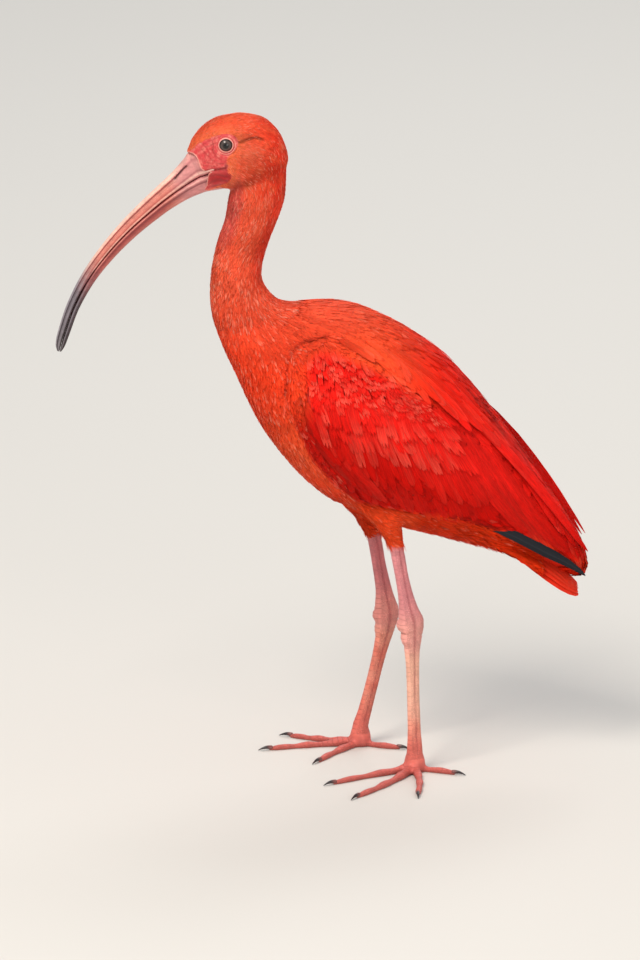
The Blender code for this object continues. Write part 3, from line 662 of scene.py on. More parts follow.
def add_leg_folds(rise, points):
    """Adds to the rise the knuckles and wrinkles of the ankles and the groove down each leg."""
    z = points[:, 2]
    ankles = np.zeros(len(points))
    for side in SIDES:
        height = ANKLE[side]
        own = (np.sign(points[:, 1]) == SIDES[side]) & (z < 146)
        ankles += own * bell(z - height, 11)
        behind = leg_turn(points, side)
        for over, place, swell, reach in KNUCKLES:
            near = np.exp(-(((z - height - over) / reach) ** 2) - ((behind - place) / 0.5) ** 2)
            rise += own * swell * near * (1.0 if side == "left" else 0.65)
        groove = bell(behind - 0.42, 0.15) * eased(z, 10, 20)
        rise -= own * 0.42 * groove * (1 - 0.6 * bell(z - height, 9))
    rise += ankles * (0.16 * steady_noise(points * (1, 1, 2.4), 6.0, 7) + 0.1 * steady_noise(points, 2.6, 8))
    waver = 0.5 * steady_noise(points, 8.0, 10)
    rise += ankles * 0.18 * np.sin(2 * math.pi * (z / 2.9 + waver))


def leg_turn(points, side):
    """Where points of a leg stand round it, from -1 at its front to 1 at its back."""
    line = dense(LEG[side], 4)[::-1]
    centre_x = np.interp(points[:, 2], line[:, 1], line[:, 0])
    dx, dy = points[:, 0] - centre_x, points[:, 1] - SIDES[side] * STANCE
    return dx / np.hypot(dx, dy).clip(0.5)


def shape_lids(points, on_head):
    """Sinks a socket behind each eyeball, and raises the lid's rim and the fold round it."""
    dx, dz = points[:, 0] - EYE[0], points[:, 2] - EYE[1]
    round_eye = np.hypot(dx, dz * 1.04)
    turn = np.arctan2(dz, dx)
    near = on_head & (round_eye < 11) & (np.abs(points[:, 1]) > 6)
    plate = 16.0 + 0.05 * dx - 0.06 * dz
    flat = 1 - eased(round_eye, 5.5, 10.5)
    lateral = np.abs(points[:, 1]) * (1 - flat) + plate * flat
    below = 0.5 - 0.5 * np.sin(turn - 0.6)
    rim = 0.80 * bell(round_eye - 4.45, 0.40)
    groove = -0.26 * bell(round_eye - 5.15, 0.34) * (0.4 + 0.6 * below)
    outer = 0.50 * bell(round_eye - 5.95, 0.50) * (0.2 + 0.8 * below)
    last = -0.42 * bell(round_eye - 7.0, 0.5) * (0.4 + 0.6 * below)
    brow = 0.8 * bell(round_eye - 7.6, 1.0) * (1 - below)
    beads = 0.05 * np.cos(turn * 34) * bell(round_eye - 4.6, 0.6)
    lateral += rim + groove + outer + last + brow + beads
    socket = 1 - eased(round_eye, 3.75, 4.2)
    lateral = lateral * (1 - socket) + np.minimum(lateral, 13.6) * socket
    points = points.copy()
    points[near, 1] = np.sign(points[near, 1]) * lateral[near]
    return points


# Colours and regions that skin and coat share


def wing_share(points):
    """1 on the folded wing, 0 off it."""
    gap = line_gap(points[:, [0, 2]], WING, True)
    return (1 - eased(gap, -2.0, 2.0)) * (np.abs(points[:, 1]) > 2)


def neck_hue(points):
    """Orange scarlet on the neck and redder on the breast, a dull pink painted shade down the throat, and red
    up the nape.
    """
    x, z = points[:, 0:1], points[:, 2:3]
    colour = blend(linear("#F85638"), linear("#EE3A1A"), eased(-z, -325, -258))
    line = dense(BODY[:8], 4)[::-1]
    middle = np.interp(z[:, 0], line[:, 1], line[:, 0])[:, None]
    # Painted shade: a dull pink band down the front of the neck
    throat = eased(middle - x, 5.0, 12.5) * eased(z, 326, 352) * (1 - eased(z, 384, 394))
    colour = blend(colour, linear("#C84A4C"), 0.6 * throat)
    nape = eased(x - middle, 6.0, 13.0) * eased(z, 300, 330)
    return blend(colour, linear("#EE402A"), nape)


def with_head_marks_and_shade(colour, points, places):
    """Paler round the face and over the ear, with painted shade under the jaw, in the crease of the crown and
    above that crease.
    """
    x, z = points[:, 0:1], points[:, 2:3]
    on_head = at_head(points, -20)[:, None]
    colour = blend(colour, linear("#F4341C"), 0.6 * on_head * eased(x, -48, -32))
    patches = steady_noise(points, 9.0, 22).clip(0, 1)[:, None]
    near_face = bell(line_gap(places, FACE, True).clip(0), 8)[:, None]
    colour = blend(colour, linear("#FA7A4C"), on_head * np.maximum(0.6 * near_face, 0.25 * patches))
    across, down = places[:, 0:1], places[:, 1:2]
    ear = bell(across - 251, 13) * bell(down - 154, 10)
    colour = blend(colour, linear("#FF7050"), 0.7 * ear * on_head)
    # Painted shade under the jaw
    jaw = bell(line_gap(places, [(236, 188), (247, 184), (257, 176)]), 5.5)[:, None]
    colour = blend(colour, linear(PAINTED_SHADE_RED), 0.4 * jaw * (z > 360))
    # Painted shade above the crease behind the eye and in the crease itself
    over = bell(across - 250, 13) * bell(down - 137, 4.5)
    crease = bell(line_gap(places, dense(CREASES[0][2], 4)) * PIXEL, 0.9)[:, None]
    return colour * (1 - (0.5 * crease + 0.22 * over) * on_head)


def with_body_tones(colour, points, on_wing):
    """Orange on the mantle, scarlet on the scapulars, darker under the belly and orange on the thighs."""
    x, z = points[:, 0:1], points[:, 2:3]
    back = eased(x - 0.9 * (z - 285), 0, 60) * eased(z, 170, 215)
    colour = blend(colour, linear("#FC5028"), back)
    rearward = eased(x + 0.2 * (z - 250), 30, 85) * eased(z, 150, 175)
    colour = blend(colour, linear("#EA1B0B"), rearward)
    axis = np.interp(x, [row[0] for row in BODY[8:]], [row[1] for row in BODY[8:]])
    under = eased(-z, -205, -172) * eased(x, -5, 30) * eased(axis - z, -4, 6)
    colour = blend(colour, linear("#D42C08"), under)
    on_thigh = (1 - eased(z, 166, 184)) * eased(x, 6, 16) * (1 - eased(x, 56, 66)) * (1 - on_wing)
    return blend(colour, linear("#F04820"), on_thigh * np.where(points[:, 1:2] < 0, 0.9, 0.35))


def with_wing_tones(colour, points, places, on_wing):
    """Scarlet on the wing's coverts, crimson on its long lower feathers, and the tail's own red behind it."""
    x, z = points[:, 0:1], points[:, 2:3]
    across, down = places[:, 0:1], places[:, 1:2]
    top = np.array(LESSER_TOP)
    under_top = down - np.interp(across, top[:, 0], top[:, 1])
    covert = on_wing * eased(under_top - 0.45 * (across - 412).clip(0), -6, 8)
    colour = blend(colour, linear("#E81A12"), covert * eased(across, 301, 314))
    low = on_wing * eased(down - 0.42 * (across - 330), 405, 452)
    colour = blend(colour, linear("#BE0A02"), low)
    rear = eased(x, 132, 150) * (1 - on_wing) * eased(-z, -160, -140)
    return blend(colour, linear("#DC2408"), rear)


def markings_and_shade(points):
    """The plumage's colour at points on the bird: scarlet, oranger on the neck and deeper on the wing, with
    painted shade in its folds and the gaps between its parts.
    """
    places = seen(points)
    on_wing = wing_share(points)[:, None]
    colour = with_head_marks_and_shade(neck_hue(points), points, places)
    colour = with_body_tones(colour, points, on_wing)
    colour = with_wing_tones(colour, points, places, on_wing)
    on_body = (points[:, 2:3] > 140) * (points[:, 2:3] < 300)
    # Painted shade along the folds and gaps between parts of the plumage, in the lines of SHADES
    for line, half, depth in SHADES:
        gap = line_gap(places, dense(line, 4))[:, None]
        colour = blend(colour, linear(PAINTED_SHADE_RED), depth * on_body * bell(gap, half))
    mottle = 1 + 0.06 * steady_noise(points, 26.0, 21) + 0.04 * steady_noise(points, 6.0, 23)
    return colour * mottle[:, None]


def leg_hue(points):
    """Bare legs: mauve pink above the ankle, paler salmon below it and coral on the toes; painted shade
    darkens and reddens the far leg and runs along the groove down each leg.
    """
    z = points[:, 2:3]
    shank, ankle, tarsus = linear("#CE7E80"), linear("#DE968A"), linear("#E8AA92")
    foot, toe, ruddy = linear("#D06658"), linear("#BE5A50"), linear("#D8503A")
    colour = blend(shank, ankle, bell(z - 92, 12))
    colour = blend(colour, tarsus, eased(-z, -90, -72))
    # The far leg is drawn darker and redder than the near one: painted shade
    far = points[:, 1:2] > 0
    blush = eased(-z, np.where(far, -82, -50), np.where(far, -66, -24)) * np.where(far, 0.75, 0.5)
    colour = blend(colour, ruddy, blush * (0.7 + 0.3 * steady_noise(points, 11.0, 33).clip(-1, 1))[:, None])
    colour = colour * np.where(far, (0.86, 0.72, 0.72), 1.0)
    colour = blend(colour, foot, eased(-z, -34, -14))
    colour = blend(colour, toe, eased(-z, -9, -4))
    # Painted shade along the groove down each leg
    for side in SIDES:
        own = (np.sign(points[:, 1]) == SIDES[side]) & (points[:, 2] < 148)
        groove = own * bell(leg_turn(points, side) - 0.42, 0.13) * eased(points[:, 2], 10, 20)
        colour = blend(colour, linear("#8C2E34"), 0.6 * groove[:, None])
    return colour * (1 + 0.10 * steady_noise(points, 9.0, 31) + 0.07 * steady_noise(points, 2.6, 32))[:, None]


def face_hue(points):
    """Bare face: mottled crimson and pink, with painted shade in its creases, along the gape and in the
    groove round the eye, and paler on the lid and beside the horn.
    """
    places = seen(points)
    base, pale, deep, crimson = linear("#C83A3C"), linear("#EC9080"), linear("#7A0E14"), linear("#A41014")
    mottle = 0.12 + 0.26 * steady_noise(points, 4.0, 41) + 0.24 * steady_noise(points, 1.3, 42)
    colour = blend(base, pale, mottle.clip(0, 1)[:, None])
    gular = bell(line_gap(places, [(213, 179), (229, 177)]), 7.5)[:, None]
    blotch = (0.5 + 0.5 * steady_noise(points, 2.4, 45)).clip(0, 1)[:, None]
    colour = blend(colour, crimson + (deep - crimson) * 0.35 * blotch, gular)
    # Painted shade along the gape's crease
    gape = bell(line_gap(places, CREASES[8][2]), 1.3)
    colour = blend(colour, deep, 0.85 * gape[:, None])
    # Painted shade in the face's creases
    for _, half, line in CREASES:
        inside = bell(line_gap(places, dense(line, 4)) * PIXEL, 0.55 * half)
        colour = blend(colour, crimson * 0.7, 0.5 * inside[:, None])
    dx, dz = points[:, 0] - EYE[0], points[:, 2] - EYE[1]
    round_eye = np.hypot(dx, dz)
    below = 0.5 - 0.5 * np.sin(np.arctan2(dz, dx) - 0.6)
    for reach, spread, strength in ((4.45, 0.38, 0.85), (5.95, 0.45, 0.45 * below)):
        rim = strength * bell(round_eye - reach, spread)
        colour = blend(colour, linear("#F2B2A2"), rim[:, None])
    # Painted shade in the groove between the lid's rim and the fold round it
    between = 0.5 * bell(round_eye - 5.2, 0.28) * (0.3 + 0.7 * below)
    colour = blend(colour, deep, between[:, None])
    horn_gap = line_gap(places, HORN, True) * PIXEL
    edge = bell(horn_gap + 0.15, 0.4)
    return blend(colour, linear("#EEB8A8"), 0.6 * edge[:, None])


def float_layer(mesh, name, values):
    """Stores a number at each vertex."""
    layer = mesh.attributes.new(name, "FLOAT", "POINT")
    layer.data.foreach_set("value", np.ascontiguousarray(values, np.float32))


def colour_layer(mesh, colours):
    """Stores a colour at each vertex."""
    layer = mesh.attributes.new("hue", "FLOAT_COLOR", "POINT")
    rgba = np.ones((len(colours), 4), np.float32)
    rgba[:, :3] = np.clip(colours, 0, 1)
    layer.data.foreach_set("color", rgba.ravel())


def leg_fields(points):
    """How far down its leg each point is, and how far it is turned from the front of it."""
    run = np.zeros(len(points))
    front = np.zeros(len(points))
    for side in SIDES:
        own = np.sign(points[:, 1]) == SIDES[side]
        toe_run = np.hypot(points[:, 0] - FOOT[side][0], points[:, 1] - FOOT[side][1])
        low = points[:, 2] < 9
        run = np.where(own, np.where(low, toe_run, points[:, 2]), run)
        turned = np.where(low, eased(points[:, 2], 2.0, 3.6), eased(-leg_turn(points, side), 0.3, 0.6))
        front = np.where(own, turned, front)
    return run, front


def colour_skin(skin, points):
    """Stores the skin's colour and where it is bare, for its material."""
    mesh = skin.data
    bare_face = np.where(at_head(points), 1 - eased(line_gap(seen(points), FACE, True), -1.0, 1.2), 0)
    limit = np.where(points[:, 1] < 0, 151.0, 143.0)
    bare_leg = 1 - eased(points[:, 2], limit - 5, limit)
    bare_leg *= (points[:, 0] < 70) | (points[:, 2] < 60)
    # Under the coat the skin takes the plumage's colour, five per cent darker: painted shade under the
    # feathers
    colour = markings_and_shade(points) * 0.95
    colour = blend(colour, face_hue(points), bare_face[:, None])
    colour = blend(colour, leg_hue(points), bare_leg[:, None])
    colour_layer(mesh, colour)
    run, front = leg_fields(points)
    float_layer(mesh, "bare", np.maximum(bare_face, bare_leg))
    float_layer(mesh, "scaled", bare_leg)
    float_layer(mesh, "leg_run", run)
    float_layer(mesh, "leg_front", front)


# Feathers

# Share of the length and share of the width at the stations of each kind of vane
SHAPES = {
    "hair": ((0.0, 0.30, 0.70, 1.0), (0.45, 1.0, 0.72, 0.10)),
    "small": ((0.0, 0.22, 0.55, 0.84, 1.0), (0.40, 0.92, 1.0, 0.60, 0.10)),
    "covert": ((0.0, 0.14, 0.34, 0.56, 0.76, 0.90, 1.0), (0.35, 0.78, 1.0, 1.0, 0.86, 0.56, 0.12)),
    "quill": (
        (0.0, 0.08, 0.2, 0.34, 0.48, 0.6, 0.71, 0.8, 0.87, 0.93, 0.975, 1.0),
        (0.25, 0.6, 0.86, 0.98, 1.0, 0.98, 0.93, 0.84, 0.72, 0.55, 0.34, 0.08),
    ),
}
# Length, width and thickness of the small vanes of each kind, against what the lie gives
SMALL_SIZES = {"hair": (1.2, 0.66, 0.035), "small": (1.1, 0.78, 0.06), "covert": (1, 1, 0.09)}
# A vane's section from side to side: share of its half width, and of its thickness
NARROW_VANE = np.array([(-1, 0), (0, 1), (1, 0), (0, -0.7)], float)
BROAD_VANE = np.array([(-1, 0), (-0.52, 0.62), (0, 1), (0.52, 0.62), (1, 0), (0, -0.7)], float)


class Coat:
    """Feathers gathered for one joined mesh."""

    def __init__(self, name):
        self.name = name
        self.tips = linear("#FF7862" if "wing" in name else "#FFA084")
        self.parts = []

    def add(self, places, normals, widths, shape, thick, tint, pale, camber=0.18, broad=False, ragged=0.0):
        """Lays vanes along rows of places. tint is each vane's colour and pale how far its tip lightens."""
        vanes, stations, _ = places.shape
        profile = BROAD_VANE if broad else NARROW_VANE
        shares, spans = (np.array(row) for row in SHAPES[shape])
        ahead = np.gradient(places, axis=1)
        sideways = unit(np.cross(normals, ahead))
        upright = unit(np.cross(ahead, sideways))
        rng = np.random.default_rng(len(self.parts) * 7 + vanes)
        half = 0.5 * widths[:, None] * spans[None, :]
        wobble = 1 + ragged * rng.uniform(-1, 1, (vanes, stations, 2))
        wobble[:, 0] = 1
        side = np.where(profile[:, 0] < 0, 0, 1)
        across = profile[:, 0] * half[..., None] * wobble[:, :, side]
        raised = profile[:, 1] * thick[:, None, None] - camber * profile[:, 0] ** 2 * half[..., None]
        points = places[:, :, None] + across[..., None] * sideways[:, :, None]
        points = points + raised[..., None] * upright[:, :, None]
        length = np.linalg.norm(np.diff(places, axis=1), axis=2).sum(axis=1)
        run = np.broadcast_to((shares[None, :] * length[:, None])[..., None], across.shape)
        tip = eased(shares, 0.45, 1.0)[None, :, None]
        edge = np.abs(profile[:, 0])[None, None, :] * eased(shares, 0.2, 0.7)[None, :, None]
        lighten = np.clip(pale[:, None, None] * (0.62 * tip + 0.42 * edge), 0, 1)
        root_shade = 0.90 + 0.10 * eased(shares, 0.0, 0.5)[None, :, None]
        if tint.ndim == 2:
            tint = tint[:, None, :]
        colour = tint[:, :, None, :] * root_shade[..., None]
        colour = blend(colour, self.tips, lighten[..., None])
        rails = np.where(np.abs(profile[:, 0]) == 1, np.arange(len(profile)), -1)
        self.parts.append(
            {
                "points": points.reshape(-1, 3),
                "colour": np.broadcast_to(colour, points.shape).reshape(-1, 3),
                "rail": np.tile(rails, vanes * stations)[:, None],
                "vane": np.stack([across, run], axis=-1).reshape(-1, 2),
                "roots": np.repeat(places[:, 0], stations * len(profile), axis=0),
                "spot": np.stack(
                    [
                        np.broadcast_to(profile[:, 0], across.shape).ravel(),
                        np.broadcast_to((shares * 2 - 1)[None, :, None], across.shape).ravel(),
                    ],
                    axis=1,
                ),
                "faces": vane_faces(vanes, stations, len(profile)),
            }
        )

    def finish(self):
        """One mesh of all the vanes, with an unwrap named OFBake for baking their colours on."""
        start = 0
        faces = []
        for part in self.parts:
            faces.append(part["faces"] + start)
            start += len(part["points"])
        keys = [key for key in self.parts[0] if key != "faces"]
        gathered = {key: np.vstack([part[key] for part in self.parts]) for key in keys}
        faces = np.vstack(faces)
        mesh = bpy.data.meshes.new(self.name)
        mesh.vertices.add(len(gathered["points"]))
        mesh.vertices.foreach_set("co", gathered["points"].astype(np.float32).ravel())
        mesh.loops.add(faces.size)
        mesh.loops.foreach_set("vertex_index", faces.astype(np.int32).ravel())
        mesh.polygons.add(len(faces))
        mesh.polygons.foreach_set("loop_start", np.arange(0, faces.size, 4, dtype=np.int32))
        mesh.update(calc_edges=True)
        ends = np.empty(len(mesh.edges) * 2, int)
        mesh.edges.foreach_get("vertices", ends)
        one, two = gathered["rail"][:, 0][ends.reshape(-1, 2)].T
        sharp = mesh.attributes.new("sharp_edge", "BOOLEAN", "EDGE")
        sharp.data.foreach_set("value", (one >= 0) & (one == two))
        colour_layer(mesh, gathered["colour"])
        corners = faces.ravel()
        lain = mesh.uv_layers.new(name="vane")
        lain.data.foreach_set("uv", gathered["vane"][corners].astype(np.float32).ravel())
        patch = own_square(gathered["roots"]) + gathered["spot"] * 0.0015
        baked = mesh.uv_layers.new(name="OFBake")
        baked.data.foreach_set("uv", patch[corners].astype(np.float32).ravel())
        item = bpy.data.objects.new(self.name, mesh)
        bpy.context.scene.collection.objects.link(item)
        return item


def vane_faces(vanes, stations, count):
    """Faces of closed vanes, all with four corners."""
    one = []
    for k in range(stations - 1):
        for i in range(count):
            n = (i + 1) % count
            one.append((k * count + i, (k + 1) * count + i, (k + 1) * count + n, k * count + n))
    last = (stations - 1) * count
    if count == 4:
        one.extend([(0, 1, 2, 3), (last + 3, last + 2, last + 1, last)])
    else:
        one.extend([(0, 1, 2, 5), (2, 3, 4, 5), (last + 5, last + 2, last + 1, last)])
        one.append((last + 5, last + 4, last + 3, last + 2))
    starts = np.arange(vanes)[:, None, None] * (stations * count)
    return (np.array(one)[None] + starts).reshape(-1, 4)


def own_square(points):
    """An unwrap of points on the bird, along the neck and back and round them, that fills its own square."""
    line = dense(BODY, 6)
    line = np.vstack([[-66.0, 403.0], [-52.0, 402.0], line[:, :2]])
    reach = np.concatenate([[0], np.cumsum(np.linalg.norm(np.diff(line, axis=0), axis=1))])
    flat = points[:, [0, 2]]
    nearest = nearest_station(flat, line)
    away = flat - line[nearest]
    way = np.gradient(line, axis=0)[nearest]
    way /= np.linalg.norm(way, axis=1)[:, None]
    over = away[:, 0] * -way[:, 1] + away[:, 1] * way[:, 0]
    past = (away * way).sum(axis=1)
    laid = np.stack([reach[nearest] + past, np.arctan2(points[:, 1], over)], axis=1)
    low, high = laid.min(axis=0), laid.max(axis=0)
    return 0.02 + 0.96 * (laid - low) / np.maximum(high - low, 1e-6)


def skin_tree(skin):
    """The skin as a tree that finds the nearest place on it."""
    mesh = skin.data
    mesh.calc_loop_triangles()
    corners = np.empty(len(mesh.loop_triangles) * 3, int)
    mesh.loop_triangles.foreach_get("vertices", corners)
    return BVHTree.FromPolygons(read_points(mesh).tolist(), corners.reshape(-1, 3).tolist())


def scatter(skin, chosen, spacing, seed):
    """Places spread evenly, spacing apart, over the chosen vertices' share of the skin."""
    group = bpy.data.node_groups.new("feather_roots", "GeometryNodeTree")
    group.interface.new_socket("Geometry", in_out="INPUT", socket_type="NodeSocketGeometry")
    group.interface.new_socket("Geometry", in_out="OUTPUT", socket_type="NodeSocketGeometry")
    start = group.nodes.new("NodeGroupInput")
    end = group.nodes.new("NodeGroupOutput")
    spread = group.nodes.new("GeometryNodeDistributePointsOnFaces")
    spread.distribute_method = "POISSON"
    spread.inputs["Distance Min"].default_value = spacing
    spread.inputs["Density Max"].default_value = 3.2 / spacing**2
    spread.inputs["Seed"].default_value = seed
    mark = group.nodes.new("GeometryNodeInputNamedAttribute")
    mark.data_type = "FLOAT"
    mark.inputs["Name"].default_value = "chosen"
    turn = group.nodes.new("GeometryNodePointsToVertices")
    group.links.new(start.outputs[0], spread.inputs["Mesh"])
    group.links.new(mark.outputs["Attribute"], spread.inputs["Density Factor"])
    group.links.new(spread.outputs["Points"], turn.inputs[0])
    group.links.new(turn.outputs[0], end.inputs[0])
    mesh = skin.data
    float_layer(mesh, "chosen", chosen)
    spreading = skin.modifiers.new("spread", "NODES")
    spreading.node_group = group
    graph = bpy.context.evaluated_depsgraph_get()
    points = read_points(skin.evaluated_get(graph).data)
    skin.modifiers.clear()
    mesh.attributes.remove(mesh.attributes["chosen"])
    bpy.data.node_groups.remove(group)
    return points


def lie_at(points):
    """Heading, length and width of the small feathers at points, smoothed between the rows of LIE."""
    rows = np.array(LIE, float)
    heading = np.radians(rows[:, 2])
    values = np.stack([np.cos(heading), np.sin(heading), rows[:, 3], rows[:, 4]], axis=1)
    gaps = ((points[:, None, [0, 2]] - rows[None, :, :2]) ** 2).sum(axis=2)
    weights = 1 / (gaps + 20) ** 2
    mixed = (weights @ values) / weights.sum(axis=1)[:, None]
    ways = np.stack([mixed[:, 0], np.zeros(len(points)), mixed[:, 1]], axis=1)
    return unit(ways), mixed[:, 2], mixed[:, 3]


def follow_skin(tree, roots, ways, lengths, shares):
    """Walks from each root over the skin and gives the places and normals at those shares of the length."""
    places = np.empty((len(roots), len(shares), 3))
    normals = np.empty_like(places)
    for i, (root, way, length) in enumerate(zip(roots, ways, lengths)):
        spot, ahead, done = Vector(root), Vector(way), 0.0
        for k, share in enumerate(shares):
            near, normal, _, _ = tree.find_nearest(spot + ahead * (length * (share - done)))
            done = share
            ahead = ahead - normal * ahead.dot(normal)
            ahead.normalize()
            spot = near
            places[i, k] = near
            normals[i, k] = normal
    return places, normals


def lay_small(coat, tree, roots, shape, rng, tract):
    """Small feathers that follow the lie of the coat."""
    _, size, lift, (common, palest, pale_share), stray = TRACTS[tract]
    ways, lengths, widths = lie_at(roots)
    long, wide, thick = SMALL_SIZES[shape]
    lengths = lengths * size * long * rng.uniform(0.75, 1.2, len(roots))
    widths = widths * size * wide * rng.uniform(0.8, 1.2, len(roots))
    if tract == "belly":
        lengths = np.minimum(lengths, np.maximum(141.6 - roots[:, 0], 3.0))
    normals = np.array([tree.find_nearest(Vector(root))[1] for root in roots])
    ways = unit(ways - normals * (ways * normals).sum(axis=1)[:, None])
    turn = np.radians(rng.normal(0, stray, len(roots)))[:, None]
    ways = ways * np.cos(turn) + np.cross(normals, ways) * np.sin(turn)
    shares = np.array(SHAPES[shape][0])
    places, normals = follow_skin(tree, roots, ways, lengths, shares)
    tips = (lift[1] * rng.uniform(0.75, 1.2, len(roots)))[:, None]
    height = lift[0] + (tips - lift[0]) * shares[None, :] ** 1.2
    if tract == "breast":
        height = height * (0.4 + 0.6 * eased(-roots[:, 2:3], -298, -262))
    if tract == "mantle":
        height = height * (0.25 + 0.75 * eased(roots[:, 0:1], -30, -2))
    if tract == "belly":
        ragged = eased(roots[:, 0:1], 56, 84) * (1 - 1.8 * eased(roots[:, 0:1], 92, 114))
        height = height * (1 + 0.6 * ragged * shares)
    places = places + normals * height[..., None]
    tuft = steady_noise(roots * (1, 1, 0.45), 2.6, 72).clip(-1, 1)
    tone = rng.uniform(0.84, 1.10, len(roots)) * (1 + 0.15 * tuft)
    tint = markings_and_shade(places.reshape(-1, 3)).reshape(places.shape) * tone[:, None, None]
    clump = (0.5 + 0.5 * steady_noise(roots, 12.0, 71).clip(-1, 1)) * (1 + tuft)
    palest = np.where(rng.random(len(roots)) < pale_share * 2 * clump, palest, common)
    paleness = palest * rng.uniform(0.3, 1.0, len(roots))
    coat.add(places, normals, widths, shape, np.full(len(roots), thick), tint, paleness, camber=0.10)


def cast(tree, places, side):
    """Where picture places meet the bird's left or right side, or stand beside it where they miss."""
    toward = Vector((0, -SIDES[side] * math.cos(LEAN), -math.sin(LEAN)))
    up = Vector((0, -SIDES[side] * math.sin(LEAN), math.cos(LEAN)))
    hits, normals = [], []
    away = 300.0
    depth = away
    for u, v in places:
        start = Vector(((u - MIDDLE) * PIXEL, 0, 0)) + up * ((GROUND - v) * PIXEL) - toward * away
        spot, normal, _, _ = tree.ray_cast(start, toward)
        jumped = spot is not None and hits and abs((spot - start).length - depth) > 9
        if spot is None or jumped or spot.y * SIDES[side] < -1:
            near, normal, _, _ = tree.find_nearest(start + toward * depth)
            spot = start + toward * (near - start).dot(toward)
        depth = (spot - start).length
        hits.append(spot)
        normals.append(normal)
    return np.array(hits), np.array(normals)


# Rows of the wing's larger feathers, from the lowest layer up: roots and tips as lines in picture places,
# count, width, height over the skin at root and tip, rise of the curled end, sideways bow, paleness, how
# unevenly the tips end, shape
WING_ROWS = {
    "secondaries": (
        [(314, 400), (335, 420), (365, 432), (400, 442), (440, 456), (475, 476)],
        [(338, 471), (358, 488), (385, 499), (415, 509), (455, 519), (504, 531)],
        20, (8, 9.5), (0.2, 1.3), 0.1, 4.0, (0.0, 0.04), 2.0, "quill",
    ),
    "tertials": (
        [(440, 416), (460, 428), (482, 444), (500, 462)],
        [(520, 530), (544, 542), (564, 551), (580, 560)],
        12, (8, 9), (0.8, 1.9), 0.2, 5.0, (0.0, 0.08), 3.0, "quill",
    ),
    "front edge": (
        [(300, 392), (304, 400), (309, 408), (314, 417)],
        [(330, 456), (345, 473), (364, 489), (392, 502)],
        7, (7, 8), (0.8, 2.1), 0.2, 5.0, (0.0, 0.08), 3.0, "quill",
    ),
    "greater coverts": (
        [(316, 396), (350, 408), (385, 418), (425, 430), (456, 448)],
        [(336, 458), (364, 473), (402, 483), (446, 492), (492, 506)],
        26, (7, 8.5), (1.0, 2.0), 0.2, 3.0, (0.0, 0.08), 5.5, "quill",
    ),
    "median coverts": (
        [(313, 386), (350, 396), (385, 404), (420, 412), (448, 424)],
        [(326, 440), (356, 450), (390, 458), (430, 463), (474, 474)],
        28, (6, 7.5), (1.6, 2.6), 0.3, 2.5, (0.0, 0.3), 5.0, "quill",
    ),
    "short median coverts": (
        [(311, 376), (345, 385), (380, 393), (415, 401), (440, 411)],
        [(318, 420), (350, 431), (384, 437), (424, 442), (460, 450)],
        27, (5.5, 7), (2.1, 3.0), 0.5, 2.0, (0.0, 0.35), 5.0, "covert",
    ),
    "rear scapulars": (
        [(432, 380), (452, 396), (472, 420)],
        [(581, 551), (576, 541), (553, 526)],
        10, (8, 9), (1.6, 2.8), 0.1, -7.0, (0.0, 0.12), 3.0, "quill",
    ),
    "long scapulars": (
        [(376, 341), (402, 355), (425, 373), (444, 392)],
        [(458, 406), (488, 430), (512, 455), (532, 484)],
        12, (7.5, 8.5), (2.1, 3.2), 0.2, -4.0, (0.0, 0.12), 4.0, "quill",
    ),
    "middle scapulars": (
        [(348, 340), (372, 346), (396, 360), (412, 377)],
        [(396, 376), (418, 392), (448, 412), (478, 440)],
        12, (6.5, 8), (2.6, 3.6), 0.3, -3.0, (0.0, 0.2), 4.0, "quill",
    ),
    "short scapulars": (
        [(338, 341), (352, 341), (366, 344), (380, 350)],
        [(370, 362), (382, 366), (396, 374), (412, 387)],
        11, (5, 6), (2.8, 3.8), 0.4, -2.0, (0.0, 0.25), 3.0, "covert",
    ),
}
LESSER_TOP = [(308, 362), (318, 352), (334, 352), (352, 360), (373, 368), (393, 379), (412, 393)]
LESSER_END = [(311, 394), (331, 397), (356, 402), (381, 406), (404, 410), (426, 414), (446, 419)]


def lay_row(coat, tree, side, row, rng, strands=1):
    """A row of feathers between lines of the picture. Strands part each feather into a frayed tuft."""
    roots, tips, count, widths, lifts, curl, bow, pale, uneven, shape = row
    shares = (np.arange(count) + 0.5) / count
    starts = along_line(roots, shares) + rng.normal(0, 1.5, (count, 2))
    ends = along_line(tips, shares) + rng.normal(0, 1.0, (count, 2)) * (0.5 * uneven, uneven)
    wide = np.interp(shares, (0, 1), widths) * rng.uniform(0.82, 1.15, count)
    tone = rng.uniform(0.88, 1.08, count)
    paleness = pale[0] + (pale[1] - pale[0]) * rng.random(count) ** 2
    if strands > 1:
        shares, starts, ends, wide, tone, paleness = (
            np.repeat(values, strands, axis=0) for values in (shares, starts, ends, wide, tone, paleness)
        )
        place = np.tile(np.arange(strands) - (strands - 1) / 2, count)
        ends = ends + np.stack([place * wide * 0.28 / PIXEL, -np.abs(place) * 1.2], axis=1)
        ends = ends + rng.normal(0, 0.6, ends.shape)
        wide = wide * 1.5 / strands
        tone = tone * rng.uniform(0.92, 1.08, len(tone))
        count = len(shares)
    stations = np.array(SHAPES[shape][0])
    places = np.empty((count, len(stations), 3))
    normals = np.empty_like(places)
    for i in range(count):
        straight = ends[i] - starts[i]
        across = np.array((-straight[1], straight[0])) / np.linalg.norm(straight)
        line = starts[i] + stations[:, None] * straight + across * (bow * np.sin(math.pi * stations))[:, None]
        places[i], normals[i] = cast(tree, line, side)
    normals = unit(normals + 0.4 * normals.mean(axis=1, keepdims=True))
    height = lifts[0] + (lifts[1] - lifts[0]) * stations**1.1 + curl * stations**4 + 0.2 * shares[:, None]
    height = height + rng.uniform(-0.15, 0.15, count)[:, None]
    places = places + normals * height[..., None]
    tint = markings_and_shade(places.reshape(-1, 3)).reshape(places.shape) * tone[:, None, None]
    coat.add(
        places, normals, wide, shape, np.full(count, 0.14), tint, paleness,
        camber=0.12, broad=strands == 1, ragged=0.07,
    )


